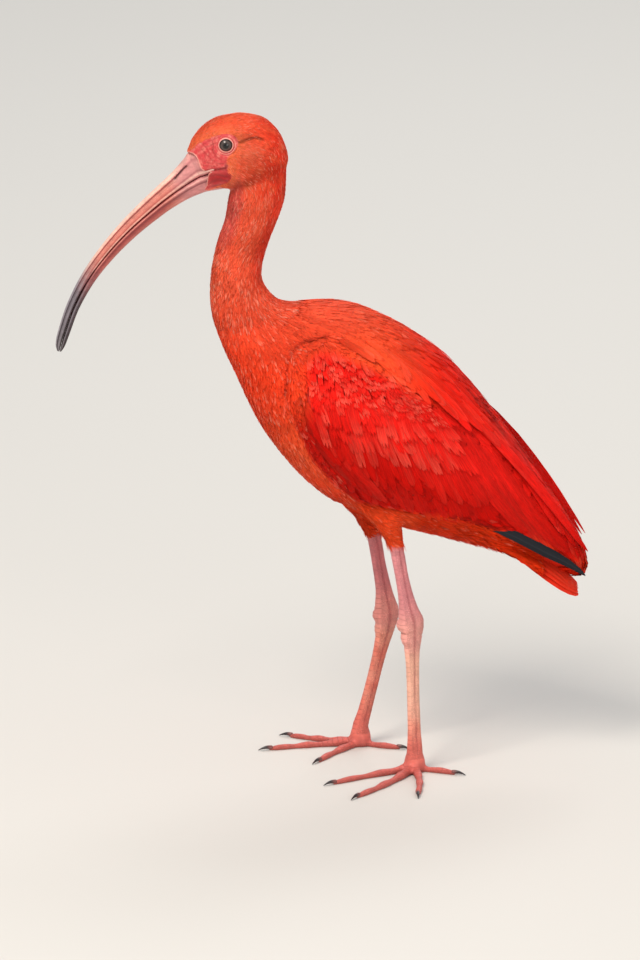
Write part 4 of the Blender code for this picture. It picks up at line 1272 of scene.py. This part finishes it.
def lay_lesser(coat, tree, side, rng):
    """The ruffled small coverts of the shoulder, with curled pale tips."""
    stops = np.linspace(0, 1, 9)
    top, end = along_line(LESSER_TOP, stops), along_line(LESSER_END, stops)
    fall = np.array([(2.5 + 8 * stop, 16.0) for stop in stops])
    for share in stops:
        roots = top + (end - top) * share
        lifts = (1.0 + 0.6 * share, 3.4 - 0.4 * share)
        row = (roots - fall * 0.35, roots + fall * 0.66, 27, (3.6, 4.6), lifts, 0.6, 0.8, (0.0, 0.6), 2.6)
        lay_row(coat, tree, side, row + ("small",), rng, strands=3)


def lay_tail(coat, rng):
    """Twelve tail feathers in a fan, the middle ones on top."""
    count = 12
    half = (count - 1) / 2
    shares = np.array(SHAPES["quill"][0])
    stops = np.linspace(0, 1, 60)
    line = along_line([row[:2] + row[3:6] + (row[7],) for row in TAIL], np.linspace(0.12, 1, 60))
    order = sorted(np.arange(count) - half, key=lambda k: -abs(k))
    for rank, k in enumerate(order):
        spread = k / half
        stop = 0.966 + 0.024 * spread**2
        x, z, up, _, wide, droop = (np.interp(shares * stop, stops, column) for column in line.T)
        fan = spread * (wide - 2.0) * (0.30 + 0.62 * shares)
        rounded = np.sqrt(np.clip(1 - (fan / np.maximum(wide, 1)) ** 2, 0.02, 1))
        height = up * 0.72 * rounded - droop * spread**2
        arch = (6.5 * (1 - spread**2) - 3.6) * eased(shares, 0.3, 0.7) * (1 - 0.55 * eased(shares, 0.7, 1))
        sink = 0.9 * (1 - shares) + (rank - count / 2) * 0.14 + arch
        place = np.stack([x, fan, z + height * (1 - 0.6 * shares) + sink + 0.4], axis=1)
        normal = np.tile(np.array((0.5, 0.45 * spread, 0.85)), (len(shares), 1))
        tint = markings_and_shade(np.array([(150.0, 0, 118.0)])) * rng.uniform(0.92, 1.08)
        width = np.array([13.0 - 4 * spread**2])
        coat.add(
            place[None], unit(normal)[None], width, "quill", np.array([0.26]), tint,
            np.array([0.06]), camber=0.06, broad=True, ragged=0.02,
        )


# The middle of the black quill ends under a wing: x, z and how far out
PRIMARIES = [
    (96, 164.4, 24.0), (112, 159.4, 24.2), (126, 152.0, 22.0), (140, 142.8, 17.2), (154, 134.0, 11.4),
    (162, 128.0, 8.0), (167, 123.2, 6.0),
]


def lay_primaries(coat, side, rng):
    """The black ends of the flight feathers, edge on under each wing."""
    shares = np.array(SHAPES["quill"][0])
    ends = ((1.0, 0.0, 5.6), (0.93, 0.5, 6.4), (0.86, 1.0, 6.6), (0.76, 1.4, 6.0))
    for k, (stop, rise, width) in enumerate(ends):
        track = along_line(PRIMARIES, shares * stop)
        y = SIDES[side] * (track[:, 2] + 1.1 - 0.45 * k)
        place = np.stack([track[:, 0] - 0.3 * rise, y, track[:, 1] + rise - 0.4], axis=1)
        normal = np.tile(np.array((0.05, SIDES[side] * 0.95, 0.25)), (len(shares), 1))
        tint = np.array([linear("#0D0F16")]) * rng.uniform(0.85, 1.2)
        coat.add(
            place[None], unit(normal)[None], np.array([width]), "quill", np.array([0.2]), tint,
            np.array([0.0]), camber=0.03, broad=True, ragged=0.015,
        )


# Bill, eyes and claws


def shape_bill(name, lower, form):
    """One mandible with its ridge, side groove and blunt end, as wide at its root as the head's form."""
    count = 96
    turn = math.pi * np.arange(count) / (count - 1)
    across = np.sign(np.cos(turn)) * np.abs(np.cos(turn)) ** 0.85
    height = np.sin(turn) ** 0.9
    tuck = 1 - 0.16 * bell(height, 0.07) + 0.03 * bell(height - 0.2, 0.08)
    gap = 0.17  # from the line between the mandibles to the edge of each
    rings = []
    for x, z, dip, up, down, wide in dense(BILL, 14):
        rise = way_up(-dip) * (-1 if lower else 1)
        centre = np.array((x, 0, z)) + rise * gap
        reach = (down if lower else up) - gap
        hit = form.ray_cast(Vector(centre + rise * 0.4 * reach + (0, -60, 0)), Vector(ACROSS))[0]
        if hit is not None and x < -60:
            wide = min(max(wide, -hit.y + 0.25), 1.7 * wide)
        ahead = eased(-x, 76, 90)
        if lower:
            dent = 0.05 * bell(np.abs(across) - 0.80, 0.10) * ahead
        else:
            dent = 0.15 * bell(np.abs(across) - 0.82, 0.055) * ahead * (1 - eased(-x, 156, 162))
            dent = dent - 0.05 * bell(across, 0.3) * ahead
        loop = centre + np.outer(across * wide * (1 - dent) * tuck, ACROSS)
        rings.append(loop + np.outer(height * reach * (1 - 0.6 * dent), rise))
    points = np.array([p for loop in rings for p in loop])
    if not lower:
        slit = line_gap(seen(points), NOSTRIL) * PIXEL
        points[:, 1] -= np.sign(points[:, 1]) * 1.3 * bell(slit, 0.55)
    flaky = eased(-points[:, 0], 74, 80) * (1 - eased(-points[:, 0], 96, 125))
    points[:, 1] *= 1 + 0.012 * flaky * steady_noise(points, 3.0, 51)
    item = mesh_object(name, points, tube_faces(rings, 0))
    outward(item)
    return item


NOSTRIL = [(187, 166.3), (184, 168.8), (180, 173.2), (175.4, 178.8)]
# From the bill's underside at -1 to its ridge at 1, how its colour turns pale, or deep where it is negative,
# in its root's half and at its tip
# The pale rows at the ridge are a painted highlight over the ridge's own paler horn; the deep rows round 0
# are painted shade in the slot between the mandibles, and those at 0.73 and 0.78 painted shade in the groove
# along the upper mandible
BANDS = [
    (-1.0, 0.15, -0.7), (-0.72, 0.10, -0.5), (-0.56, 0.0, -0.2), (-0.44, -0.45, 0.1), (-0.34, -0.85, 0.5),
    (-0.24, -0.35, 0.6), (-0.13, 0.55, -0.5), (-0.07, -0.6, -0.9), (0.0, -1.0, -1.0), (0.06, -0.8, -1.0),
    (0.12, 0.70, -0.9), (0.21, 0.50, -0.3), (0.29, -0.50, 0.3), (0.37, 0.0, 0.6), (0.52, 0.15, 0.5),
    (0.66, 0.25, 0.3), (0.73, -0.65, -0.4), (0.78, -0.85, -0.6), (0.83, 0.4, 0.3), (0.90, 1.0, 0.9),
    (1.0, 1.0, 1.0),
]


def bill_hue(points):
    """Pink at the bill's root, salmon, then mauve grey and near black at the tip, in lengthwise bands with a
    painted highlight and painted shade.
    """
    run = -points[:, 0:1] + 0.35 * (390 - points[:, 2:3])
    base, salmon, mauve = linear("#C67E7C"), linear("#C46A5C"), linear("#8A5456")
    grey, tip = linear("#4C434A"), linear("#302C2E")
    height = bill_height(points)[:, None]
    colour = blend(base, salmon, eased(run, 88, 104))
    colour = colour * (1 - 0.26 * (height < 0) * eased(run, 96, 112) * (1, 2.0, 1.7))
    colour = blend(colour, mauve, eased(run, 156, 176))
    colour = blend(colour, grey, eased(run, 170, 186))
    colour = blend(colour, tip, eased(run, 188, 206))
    # Pale and deep bands: at the ridge the pale is a painted highlight, and the deep bands at the slot and
    # the side groove are painted shade
    heights, near, end = np.array(BANDS).T
    far = eased(run, 160, 182)
    band = np.interp(height, heights, near)
    band *= 1 - 0.7 * eased(-run, -96, -84) * (np.abs(height) > 0.35)
    band *= 1 - 0.8 * eased(-run, -112, -84) * (np.abs(height) > 0.03) * (np.abs(height) < 0.10)
    band = band + (np.interp(height, heights, end) - band) * far
    # The pale of the bands and of the painted highlight: cream at the root and grey at the tip
    paler = linear("#F4C8B4") * (1 - far) + linear("#9A9096") * far
    colour = blend(colour, paler, band.clip(0, 1) * 0.85)
    # Painted shade in the slot and the side groove, near black at the tip
    colour = blend(colour, linear("#681A20") * (1 - 0.85 * far), (-band).clip(0, 1))
    # Painted shade in the nostril's slit
    slit = bell(line_gap(seen(points), NOSTRIL) * PIXEL, 0.5)[:, None]
    colour = blend(colour, linear("#3A1216"), slit)
    return colour * (1 + 0.06 * steady_noise(points, 7.0, 61) + 0.05 * steady_noise(points, 2.0, 62))[:, None]


def bill_height(points):
    """How high points stand over the line between the mandibles, as a share of the bill's reach there."""
    line = dense(BILL, 8)
    flat = points[:, [0, 2]]
    row = line[nearest_station(flat, line[:, :2])]
    tilt = np.radians(row[:, 2])
    over = (flat[:, 0] - row[:, 0]) * -np.sin(tilt) + (flat[:, 1] - row[:, 1]) * np.cos(tilt)
    return over / np.where(over > 0, row[:, 3], row[:, 4])


def make_eye(side):
    """An eyeball: a sphere from which the cornea stands a little proud."""
    bpy.ops.mesh.primitive_uv_sphere_add(
        segments=48, ring_count=32, radius=5.2, location=(0, 0, 0), rotation=(0, 0, 0)
    )
    eye = bpy.context.object
    eye.name = "eyeball_" + side
    points = read_points(eye.data)
    points = points[:, [0, 2, 1]] * (1, SIDES[side], 1)
    off_axis = np.hypot(points[:, 0], points[:, 2])
    ahead = points[:, 1] * SIDES[side] > 0
    points[:, 1] += SIDES[side] * ahead * 0.45 * bell(off_axis, 3.1)
    points += (EYE[0], SIDES[side] * 12.75, EYE[1])
    write_points(eye.data, points)
    off = np.hypot(points[:, 0] - EYE[0], points[:, 2] - EYE[1])
    float_layer(eye.data, "from_pupil", off)
    outward(eye)
    return eye


def make_claw(side, name):
    """A curved claw: a cone drawn out to a point and bent to the ground."""
    toe = TOES[side][name]
    *_, (_, root, ahead, across) = toe_line(side, toe, 3)
    bpy.ops.mesh.primitive_cone_add(vertices=20, radius1=1.5, radius2=0.16, depth=1.0, end_fill_type="NGON")
    claw = bpy.context.object
    claw.name = f"horn_{side}_{name}"
    bpy.ops.object.mode_set(mode="EDIT")
    bpy.ops.mesh.select_all(action="SELECT")
    bpy.ops.mesh.bisect(plane_co=(0, 0, 0.3), plane_no=(0, 0, 1))
    for k in range(1, 9):
        bpy.ops.mesh.select_all(action="SELECT")
        bpy.ops.mesh.bisect(plane_co=(0, 0, -0.5 + k / 9), plane_no=(0, 0, 1))
    bpy.ops.object.mode_set(mode="OBJECT")
    points = read_points(claw.data)
    share = points[:, 2] + 0.5
    size = (1 - 0.85 * share**1.4) / (1 - 0.893 * share)
    forward = -2.2 + 9.0 * share
    height = 1.60 + 0.6 * np.sin(math.pi * share) - 1.1 * share**2
    across_by = points[:, 0] * size * 0.86
    up_by = points[:, 1] * size * np.where(points[:, 1] < 0, 0.85, 1.0)
    laid = root + forward[:, None] * ahead + across_by[:, None] * across
    laid[:, 2] += height + up_by
    laid[:, 2] = np.maximum(laid[:, 2], 0.25)
    write_points(claw.data, laid)
    float_layer(claw.data, "claw_run", share)
    outward(claw)
    return claw


# Materials


def new_material(name):
    """A material with its shader."""
    made = bpy.data.materials.new(name)
    made.use_nodes = True
    return made, made.node_tree.nodes["Principled BSDF"]


def node(material, kind, links=None, values=None, **settings):
    """Adds a node with its settings, its values and what feeds it."""
    made = material.node_tree.nodes.new(kind)
    for key, value in settings.items():
        setattr(made, key, value)
    for key, value in (values or {}).items():
        made.inputs[key].default_value = value
    for key, source in (links or {}).items():
        material.node_tree.links.new(source, made.inputs[key])
    return made


def barb_nodes(material, lean):
    """A vane's colour, unwrap, distance from the shaft, and barbs that lean forward of it by so much."""
    hue = node(material, "ShaderNodeAttribute", attribute_name="hue")
    lain = node(material, "ShaderNodeUVMap", uv_map="vane")
    parts = node(material, "ShaderNodeSeparateXYZ", {"Vector": lain.outputs["UV"]})
    across = node(material, "ShaderNodeMath", {0: parts.outputs["X"]}, operation="ABSOLUTE")
    slant = node(
        material, "ShaderNodeMath", {0: across.outputs[0], 2: parts.outputs["Y"]}, {1: -lean},
        operation="MULTIPLY_ADD",
    )
    # Barbs stand about 0.3 mm apart in life, and are drawn 0.8 mm apart so that they show
    apart = 0.8
    turns = node(
        material, "ShaderNodeMath", {0: slant.outputs[0]}, {1: 2 * math.pi / apart}, operation="MULTIPLY"
    )
    barbs = node(material, "ShaderNodeMath", {0: turns.outputs[0]}, operation="SINE")
    return hue, lain, across, barbs


def feather_material():
    """Feather vane: matt keratin. Fine barbs run slantwise from the shaft, and catch a soft sheen."""
    material, shader = new_material("contour_feather_vane")
    hue, lain, _, barbs = barb_nodes(material, 1.3)
    mapped = node(material, "ShaderNodeMapping", {"Vector": lain.outputs["UV"]}, {"Scale": (1.7, 0.12, 1.0)})
    place = node(material, "ShaderNodeTexCoord")
    mixed = node(
        material, "ShaderNodeVectorMath",
        {0: place.outputs["Object"], 2: mapped.outputs[0]}, {1: (60, 60, 60)}, operation="MULTIPLY_ADD",
    )
    streaks = node(
        material, "ShaderNodeTexNoise", {"Vector": mixed.outputs[0]},
        {"Scale": 1.0, "Detail": 3.0, "Roughness": 0.6},
    )
    shade = node(
        material, "ShaderNodeMapRange", {"Value": streaks.outputs["Fac"]},
        {"From Min": 0.3, "From Max": 0.72, "To Min": 0.74, "To Max": 1.18},
    )
    lit = node(
        material, "ShaderNodeMath", {0: barbs.outputs[0], 2: shade.outputs[0]}, {1: 0.045},
        operation="MULTIPLY_ADD",
    )
    tone = node(
        material, "ShaderNodeVectorMath",
        {0: hue.outputs["Color"], "Scale": lit.outputs[0]}, operation="SCALE",
    )
    material.node_tree.links.new(tone.outputs[0], shader.inputs["Base Color"])
    relief = node(
        material, "ShaderNodeMath", {0: streaks.outputs["Fac"], 2: barbs.outputs[0]}, {1: 3.0},
        operation="MULTIPLY_ADD",
    )
    bump = node(
        material, "ShaderNodeBump", {"Height": relief.outputs[0]}, {"Strength": 0.35, "Distance": 0.0002}
    )
    material.node_tree.links.new(bump.outputs[0], shader.inputs["Normal"])
    shader.inputs["Roughness"].default_value = 0.6
    shader.inputs["Specular IOR Level"].default_value = 0.05
    shader.inputs["Subsurface Weight"].default_value = 0.25
    shader.inputs["Subsurface Radius"].default_value = (1.0, 0.2, 0.1)
    shader.inputs["Subsurface Scale"].default_value = 0.001
    shader.inputs["Sheen Weight"].default_value = 0.04
    shader.inputs["Sheen Roughness"].default_value = 0.5
    shader.inputs["Sheen Tint"].default_value = (*linear("#FF4020"), 1)
    return material


def quill_material():
    """Flight feather tip: blue-black keratin, tighter and glossier than the body's feathers."""
    material, shader = new_material("black_flight_feather_vane")
    hue, _, across, barbs = barb_nodes(material, 1.6)
    shaft = node(
        material, "ShaderNodeMapRange", {"Value": across.outputs[0]},
        {"From Min": 0.25, "From Max": 0.5, "To Min": 1.0, "To Max": 0.0},
    )
    tone = node(
        material, "ShaderNodeMix", {0: shaft.outputs[0], 6: hue.outputs["Color"]},
        {7: (*linear("#191B22"), 1)}, data_type="RGBA",
    )
    material.node_tree.links.new(tone.outputs[2], shader.inputs["Base Color"])
    bump = node(
        material, "ShaderNodeBump", {"Height": barbs.outputs[0]}, {"Strength": 0.3, "Distance": 0.0002}
    )
    material.node_tree.links.new(bump.outputs[0], shader.inputs["Normal"])
    shader.inputs["Roughness"].default_value = 0.45
    shader.inputs["Specular IOR Level"].default_value = 0.25
    return material


def skin_material():
    """Bare bird's skin: fine wrinkles on the face, plate scales down the legs, soft and slightly waxy."""
    material, shader = new_material("bare_scaled_skin")
    hue = node(material, "ShaderNodeAttribute", attribute_name="hue")
    bare = node(material, "ShaderNodeAttribute", attribute_name="bare")
    scaled = node(material, "ShaderNodeAttribute", attribute_name="scaled")
    run = node(material, "ShaderNodeAttribute", attribute_name="leg_run")
    front = node(material, "ShaderNodeAttribute", attribute_name="leg_front")
    place = node(material, "ShaderNodeTexCoord")
    # Small six-sided scales about 1 mm across
    cells = node(
        material, "ShaderNodeTexVoronoi", {"Vector": place.outputs["Object"]}, {"Scale": 920.0},
        feature="DISTANCE_TO_EDGE",
    )
    cell_rise = node(
        material, "ShaderNodeMapRange", {"Value": cells.outputs["Distance"]},
        {"From Min": 0.0, "From Max": 0.30}, interpolation_type="SMOOTHSTEP",
    )
    # Broad plates across the front of the leg and the top of each toe, 3.2 mm from one to the next
    waver = node(
        material, "ShaderNodeTexNoise", {"Vector": place.outputs["Object"]}, {"Scale": 160.0, "Detail": 1.0}
    )
    shifted = node(
        material, "ShaderNodeMath", {0: waver.outputs["Fac"], 2: run.outputs["Fac"]}, {1: 2.4},
        operation="MULTIPLY_ADD",
    )
    plates = node(material, "ShaderNodeMath", {0: shifted.outputs[0]}, {1: 1.6}, operation="PINGPONG")
    plate_rise = node(
        material, "ShaderNodeMapRange", {"Value": plates.outputs[0]},
        {"From Min": 0.0, "From Max": 0.3}, interpolation_type="SMOOTHSTEP",
    )
    scales = node(
        material, "ShaderNodeMix",
        {0: front.outputs["Fac"], 2: cell_rise.outputs[0], 3: plate_rise.outputs[0]}, data_type="FLOAT",
    )
    wrinkles = node(
        material, "ShaderNodeTexNoise", {"Vector": place.outputs["Object"]},
        {"Scale": 520.0, "Detail": 4.0, "Roughness": 0.62, "Distortion": 0.8},
    )
    relief = node(
        material, "ShaderNodeMix",
        {0: scaled.outputs["Fac"], 2: wrinkles.outputs["Fac"], 3: scales.outputs[0]}, data_type="FLOAT",
    )
    shade = node(
        material, "ShaderNodeMapRange", {"Value": relief.outputs[0]},
        {"From Min": 0.1, "From Max": 0.75, "To Min": 0.82, "To Max": 1.06},
    )
    tone = node(
        material, "ShaderNodeVectorMath",
        {0: hue.outputs["Color"], "Scale": shade.outputs[0]}, operation="SCALE",
    )
    material.node_tree.links.new(tone.outputs[0], shader.inputs["Base Color"])
    deep = node(
        material, "ShaderNodeMath", {0: relief.outputs[0], 1: bare.outputs["Fac"]}, operation="MULTIPLY"
    )
    bump = node(
        material, "ShaderNodeBump", {"Height": deep.outputs[0]}, {"Strength": 0.7, "Distance": 0.0004}
    )
    material.node_tree.links.new(bump.outputs[0], shader.inputs["Normal"])
    shader.inputs["Roughness"].default_value = 0.5
    shader.inputs["Specular IOR Level"].default_value = 0.4
    return material


def horn_material():
    """The bill's horn: smooth keratin, skin-like and flaky at its root and polished towards the tip."""
    material, shader = new_material("bill_keratin")
    hue = node(material, "ShaderNodeAttribute", attribute_name="hue")
    place = node(material, "ShaderNodeTexCoord")
    turned = node(
        material, "ShaderNodeMapping", {"Vector": place.outputs["Object"]},
        {"Rotation": (0, math.radians(-42), 0), "Scale": (70, 420, 420)},
    )
    grain = node(
        material, "ShaderNodeTexNoise", {"Vector": turned.outputs[0]},
        {"Scale": 1.0, "Detail": 4.0, "Roughness": 0.6},
    )
    shade = node(
        material, "ShaderNodeMapRange", {"Value": grain.outputs["Fac"]},
        {"From Min": 0.3, "From Max": 0.7, "To Min": 0.80, "To Max": 1.12},
    )
    tone = node(
        material, "ShaderNodeVectorMath",
        {0: hue.outputs["Color"], "Scale": shade.outputs[0]}, operation="SCALE",
    )
    material.node_tree.links.new(tone.outputs[0], shader.inputs["Base Color"])
    bump = node(
        material, "ShaderNodeBump", {"Height": grain.outputs["Fac"]}, {"Strength": 0.3, "Distance": 0.0003}
    )
    material.node_tree.links.new(bump.outputs[0], shader.inputs["Normal"])
    shader.inputs["Roughness"].default_value = 0.36
    return material


def eye_material():
    """A wet eye: dark brown iris round a black pupil under a clear cornea."""
    material, shader = new_material("wet_dark_iris")
    off = node(material, "ShaderNodeAttribute", attribute_name="from_pupil")
    place = node(material, "ShaderNodeTexCoord")
    fibres = node(
        material, "ShaderNodeTexNoise", {"Vector": place.outputs["Object"]}, {"Scale": 1400.0, "Detail": 3.0}
    )
    ragged = node(
        material, "ShaderNodeMath", {0: fibres.outputs["Fac"], 2: off.outputs["Fac"]}, {1: 0.5},
        operation="MULTIPLY_ADD",
    )
    scaled = node(material, "ShaderNodeMath", {0: ragged.outputs[0]}, {1: 0.2}, operation="MULTIPLY")
    ramp = node(material, "ShaderNodeValToRGB", {"Fac": scaled.outputs[0]})
    stops = ramp.color_ramp.elements
    stops[0].position, stops[0].color = 0.33, (*linear("#020202"), 1)
    stops[1].position, stops[1].color = 0.39, (*linear("#2B2320"), 1)
    for position, code in ((0.60, "#4E423E"), (0.76, "#2A2220"), (0.90, "#0C0707")):
        stop = stops.new(position)
        stop.color = (*linear(code), 1)
    material.node_tree.links.new(ramp.outputs["Color"], shader.inputs["Base Color"])
    shader.inputs["Roughness"].default_value = 0.5
    shader.inputs["Specular IOR Level"].default_value = 0.1
    shader.inputs["Coat Weight"].default_value = 0.7
    shader.inputs["Coat Roughness"].default_value = 0.02
    return material


def claw_material():
    """Claw horn: near black keratin with a browner root and fine lengthwise grain."""
    material, shader = new_material("claw_keratin")
    run = node(material, "ShaderNodeAttribute", attribute_name="claw_run")
    ramp = node(material, "ShaderNodeValToRGB", {"Fac": run.outputs["Fac"]})
    stops = ramp.color_ramp.elements
    stops[0].position, stops[0].color = 0.12, (*linear("#7A4440"), 1)
    stops[1].position, stops[1].color = 0.42, (*linear("#2A2122"), 1)
    material.node_tree.links.new(ramp.outputs["Color"], shader.inputs["Base Color"])
    place = node(material, "ShaderNodeTexCoord")
    grain = node(
        material, "ShaderNodeTexNoise", {"Vector": place.outputs["Object"]}, {"Scale": 900.0, "Detail": 3.0}
    )
    bump = node(
        material, "ShaderNodeBump", {"Height": grain.outputs["Fac"]}, {"Strength": 0.2, "Distance": 0.0002}
    )
    material.node_tree.links.new(bump.outputs[0], shader.inputs["Normal"])
    shader.inputs["Roughness"].default_value = 0.35
    return material


# Stage


def set_floor():
    """A pale matt floor."""
    bpy.ops.mesh.primitive_plane_add(size=16, location=(0, 3, 0))
    floor = bpy.context.object
    floor.name = "floor"
    paper, shader = new_material("matt_paper_sweep")
    shader.inputs["Base Color"].default_value = (*linear("#D2CFC9"), 1)
    shader.inputs["Roughness"].default_value = 0.9
    shader.inputs["Specular IOR Level"].default_value = 0.2
    floor.data.materials.append(paper)


def set_light():
    """Soft studio light: an even sky and three broad lamps, turned to the bird's middle."""
    world = bpy.data.worlds.new("studio")
    world.use_nodes = True
    world.node_tree.nodes["Background"].inputs["Color"].default_value = (0.93, 0.96, 1.0, 1)
    world.node_tree.nodes["Background"].inputs["Strength"].default_value = 0.62
    bpy.context.scene.world = world
    lamps = (
        ("key", (-0.9, -1.3, 2.3), 1.0, 52, "#FFF6EC"),
        ("fill", (1.2, -2.4, 0.7), 1.4, 24, "#FFFAF4"),
        ("back", (0.6, 1.6, 1.9), 1.2, 18, "#FFFFFF"),
    )
    middle = Vector((0.0, 0.0, 0.22))
    for name, place, size, power, code in lamps:
        lamp = bpy.data.lights.new(name, "AREA")
        lamp.size = size
        lamp.energy = power
        lamp.color = linear(code)
        stand = bpy.data.objects.new(name, lamp)
        stand.location = place
        stand.rotation_euler = (middle - Vector(place)).to_track_quat("-Z", "Y").to_euler()
        bpy.context.scene.collection.objects.link(stand)


def set_camera():
    """A camera at the picture's angle, 14 m off, so that the bird's height stays true."""
    view = bpy.data.cameras.new("camera")
    view.sensor_fit = "VERTICAL"
    view.sensor_height = 36
    view.lens = 833.2
    view.clip_end = 60
    camera = bpy.data.objects.new("camera", view)
    camera.location = (-0.0007, -13.3700, 4.2770)
    camera.rotation_euler = (math.radians(73), 0, 0)
    bpy.context.scene.collection.objects.link(camera)
    bpy.context.scene.camera = camera
    bpy.context.scene.view_settings.view_transform = "Standard"


def settle(item, material, slot, *nodes):
    """Brings a finished piece to the CAD's frame, gives it its material, shades it smooth, hangs it under the
    root and hides the CAD nodes that it stands for.
    """
    item.data.transform(TO_CAD)
    item.data.materials.clear()
    item.data.materials.append(material)
    item.data.polygons.foreach_set("use_smooth", np.ones(len(item.data.polygons), bool))
    item.data.update()
    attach(item, "root")
    if nodes:
        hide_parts(*nodes)


# The top of the wing, under the back's feathers, in picture places
SPINE = [(333, 336), (372, 339), (398, 353), (430, 376), (470, 405), (583, 545)]


def zones(points):
    """Masks of the skin where each kind of small feather grows."""
    x, y, z = points.T
    places = seen(points)
    on_head = at_head(points, -20)
    off_face = np.where(on_head, line_gap(places, FACE, True) * PIXEL, 9.0)
    wing = line_gap(points[:, [0, 2]], WING, True)
    inside_fold = line_gap(places, dense(SHOULDER, 4)) * PIXEL
    below_arc = wing < -1.0
    limit = np.where(x > 78, 100.0, np.where(y < 0, 151.5, 143.0))
    off_black = (line_gap(points[:, [0, 2]], [row[:2] for row in PRIMARIES]) > 3.6) | (x < 116)
    near_thigh = (z < np.where(y < 0, 180, 172)) & (x < 66) & (x > 8) & (np.abs(y) > 9) & (np.abs(y) < 45)
    clear = z > limit
    spine_top = places[:, 1] < np.interp(places[:, 0], *np.array(SPINE).T)
    cheek = np.hypot(places[:, 0] - 262, places[:, 1] - 156) < 9
    return {
        "face edge": on_head & (off_face > -0.5) & (off_face < 5) & (z > 378),
        "head": on_head & (off_face >= 5) & (z > 384) & ~cheek,
        "cheek": on_head & cheek,
        "upper neck": (z <= 384) & (z > 345) & ((off_face >= 5) | ~on_head),
        "lower neck": (z <= 345) & (z > 296),
        "breast": clear & (z <= 296) & (x < 14) & (wing > 0.5) & ~near_thigh,
        "wing front": (wing > -5.5) & (wing <= 3) & (z < 258) & (x < 4) & (z > 196),
        "belly": clear & (x >= 14) & (x < 139) & (wing > -0.5) & ~near_thigh & (z < 200) & off_black,
        "thighs": clear & near_thigh & (wing > 1.5),
        "mantle": spine_top & (x > -28) & (x < 52) & (z > 235) & (z < 309) & (wing < 20),
        "back": spine_top & (x >= 52) & (wing < 30),
        "shoulder": below_arc & (z > 236) & ~spine_top & (inside_fold < 12.5) & (x < 34),
        "wing": below_arc & ~spine_top & off_black,
    }


def dress(skin, tree):
    """Lays every feather and returns the coat's pieces, each by its name."""
    rng = np.random.default_rng(11)
    points = read_points(skin.data)
    found = {}
    for seed, (name, mask) in enumerate(zones(points).items()):
        found[name] = scatter(skin, mask.astype(float), TRACTS[name][0], seed + 3)
    coats = {}

    def coat(name):
        """The coat of that name, begun when it is first asked for."""
        return coats.setdefault(name, Coat(name))

    for piece, tract, shape in (
        ("coat_head", "face edge", "hair"),
        ("coat_head", "head", "hair"),
        ("coat_head", "cheek", "hair"),
        ("coat_upper_neck", "upper neck", "hair"),
        ("coat_lower_neck", "lower neck", "hair"),
        ("coat_breast", "breast", "small"),
        ("coat_wing_front", "wing front", "small"),
        ("coat_belly", "belly", "small"),
        ("coat_thighs", "thighs", "small"),
        ("coat_back", "mantle", "small"),
        ("coat_back", "back", "small"),
    ):
        lay_small(coat(piece), tree, found[tract], shape, rng, tract)
    for side in SIDES:
        for tract, shape in (("wing", "covert"), ("shoulder", "small")):
            own = np.array([p for p in found[tract] if p[1] * SIDES[side] > 0])
            lay_small(coat("coat_wing_" + side), tree, own, shape, rng, tract)
        for name, row in WING_ROWS.items():
            lay_row(coat("coat_wing_" + side), tree, side, row, rng, strands=3 if "median" in name else 1)
        lay_lesser(coat("coat_wing_" + side), tree, side, rng)
    lay_tail(coat("coat_tail"), rng)
    return coats


def main():
    """Makes the skin, the coats over it, the quills, the mandibles, the eyes and the claws."""
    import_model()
    for item in bpy.context.selected_objects:
        item.select_set(False)
    set_floor()
    set_light()
    set_camera()
    skin = flesh()
    thin_out_skin(skin)
    form = skin_tree(skin)
    write_points(skin.data, shape_skin(skin))
    coats = dress(skin, skin_tree(skin))
    colour_skin(skin, read_points(skin.data))
    plumage, bare, horn = feather_material(), skin_material(), horn_material()
    flesh_nodes = ["head", "neck_upper", "neck_middle", "neck_lower", "trunk"]
    flesh_nodes += ["wing_left", "wing_right", "tail"]
    for side in SIDES:
        flesh_nodes += [part + "_" + side for part in ("thigh", "shank", "tarsus", "foot")]
        flesh_nodes += [f"toe_{side}_{name}" for name in TOES[side]]
    for coat in coats.values():
        settle(coat.finish(), plumage, "plumage")
    settle(skin, bare, "plumage", *flesh_nodes)
    black = quill_material()
    rng = np.random.default_rng(5)
    for side in SIDES:
        quills = Coat("quills_" + side)
        lay_primaries(quills, side, rng)
        settle(quills.finish(), black, "quill", "primaries_" + side)
    for name, lower in (("bill_upper", False), ("bill_lower", True)):
        mandible = shape_bill(name.replace("bill", "mandible"), lower, form)
        colour_layer(mandible.data, bill_hue(read_points(mandible.data)))
        settle(mandible, horn, "bill", name)
    glossy, claw_horn = eye_material(), claw_material()
    for side in SIDES:
        settle(make_eye(side), glossy, "eye", "eye_" + side)
        for name in TOES[side]:
            settle(make_claw(side, name), claw_horn, "claw", f"claw_{side}_{name}")


main()
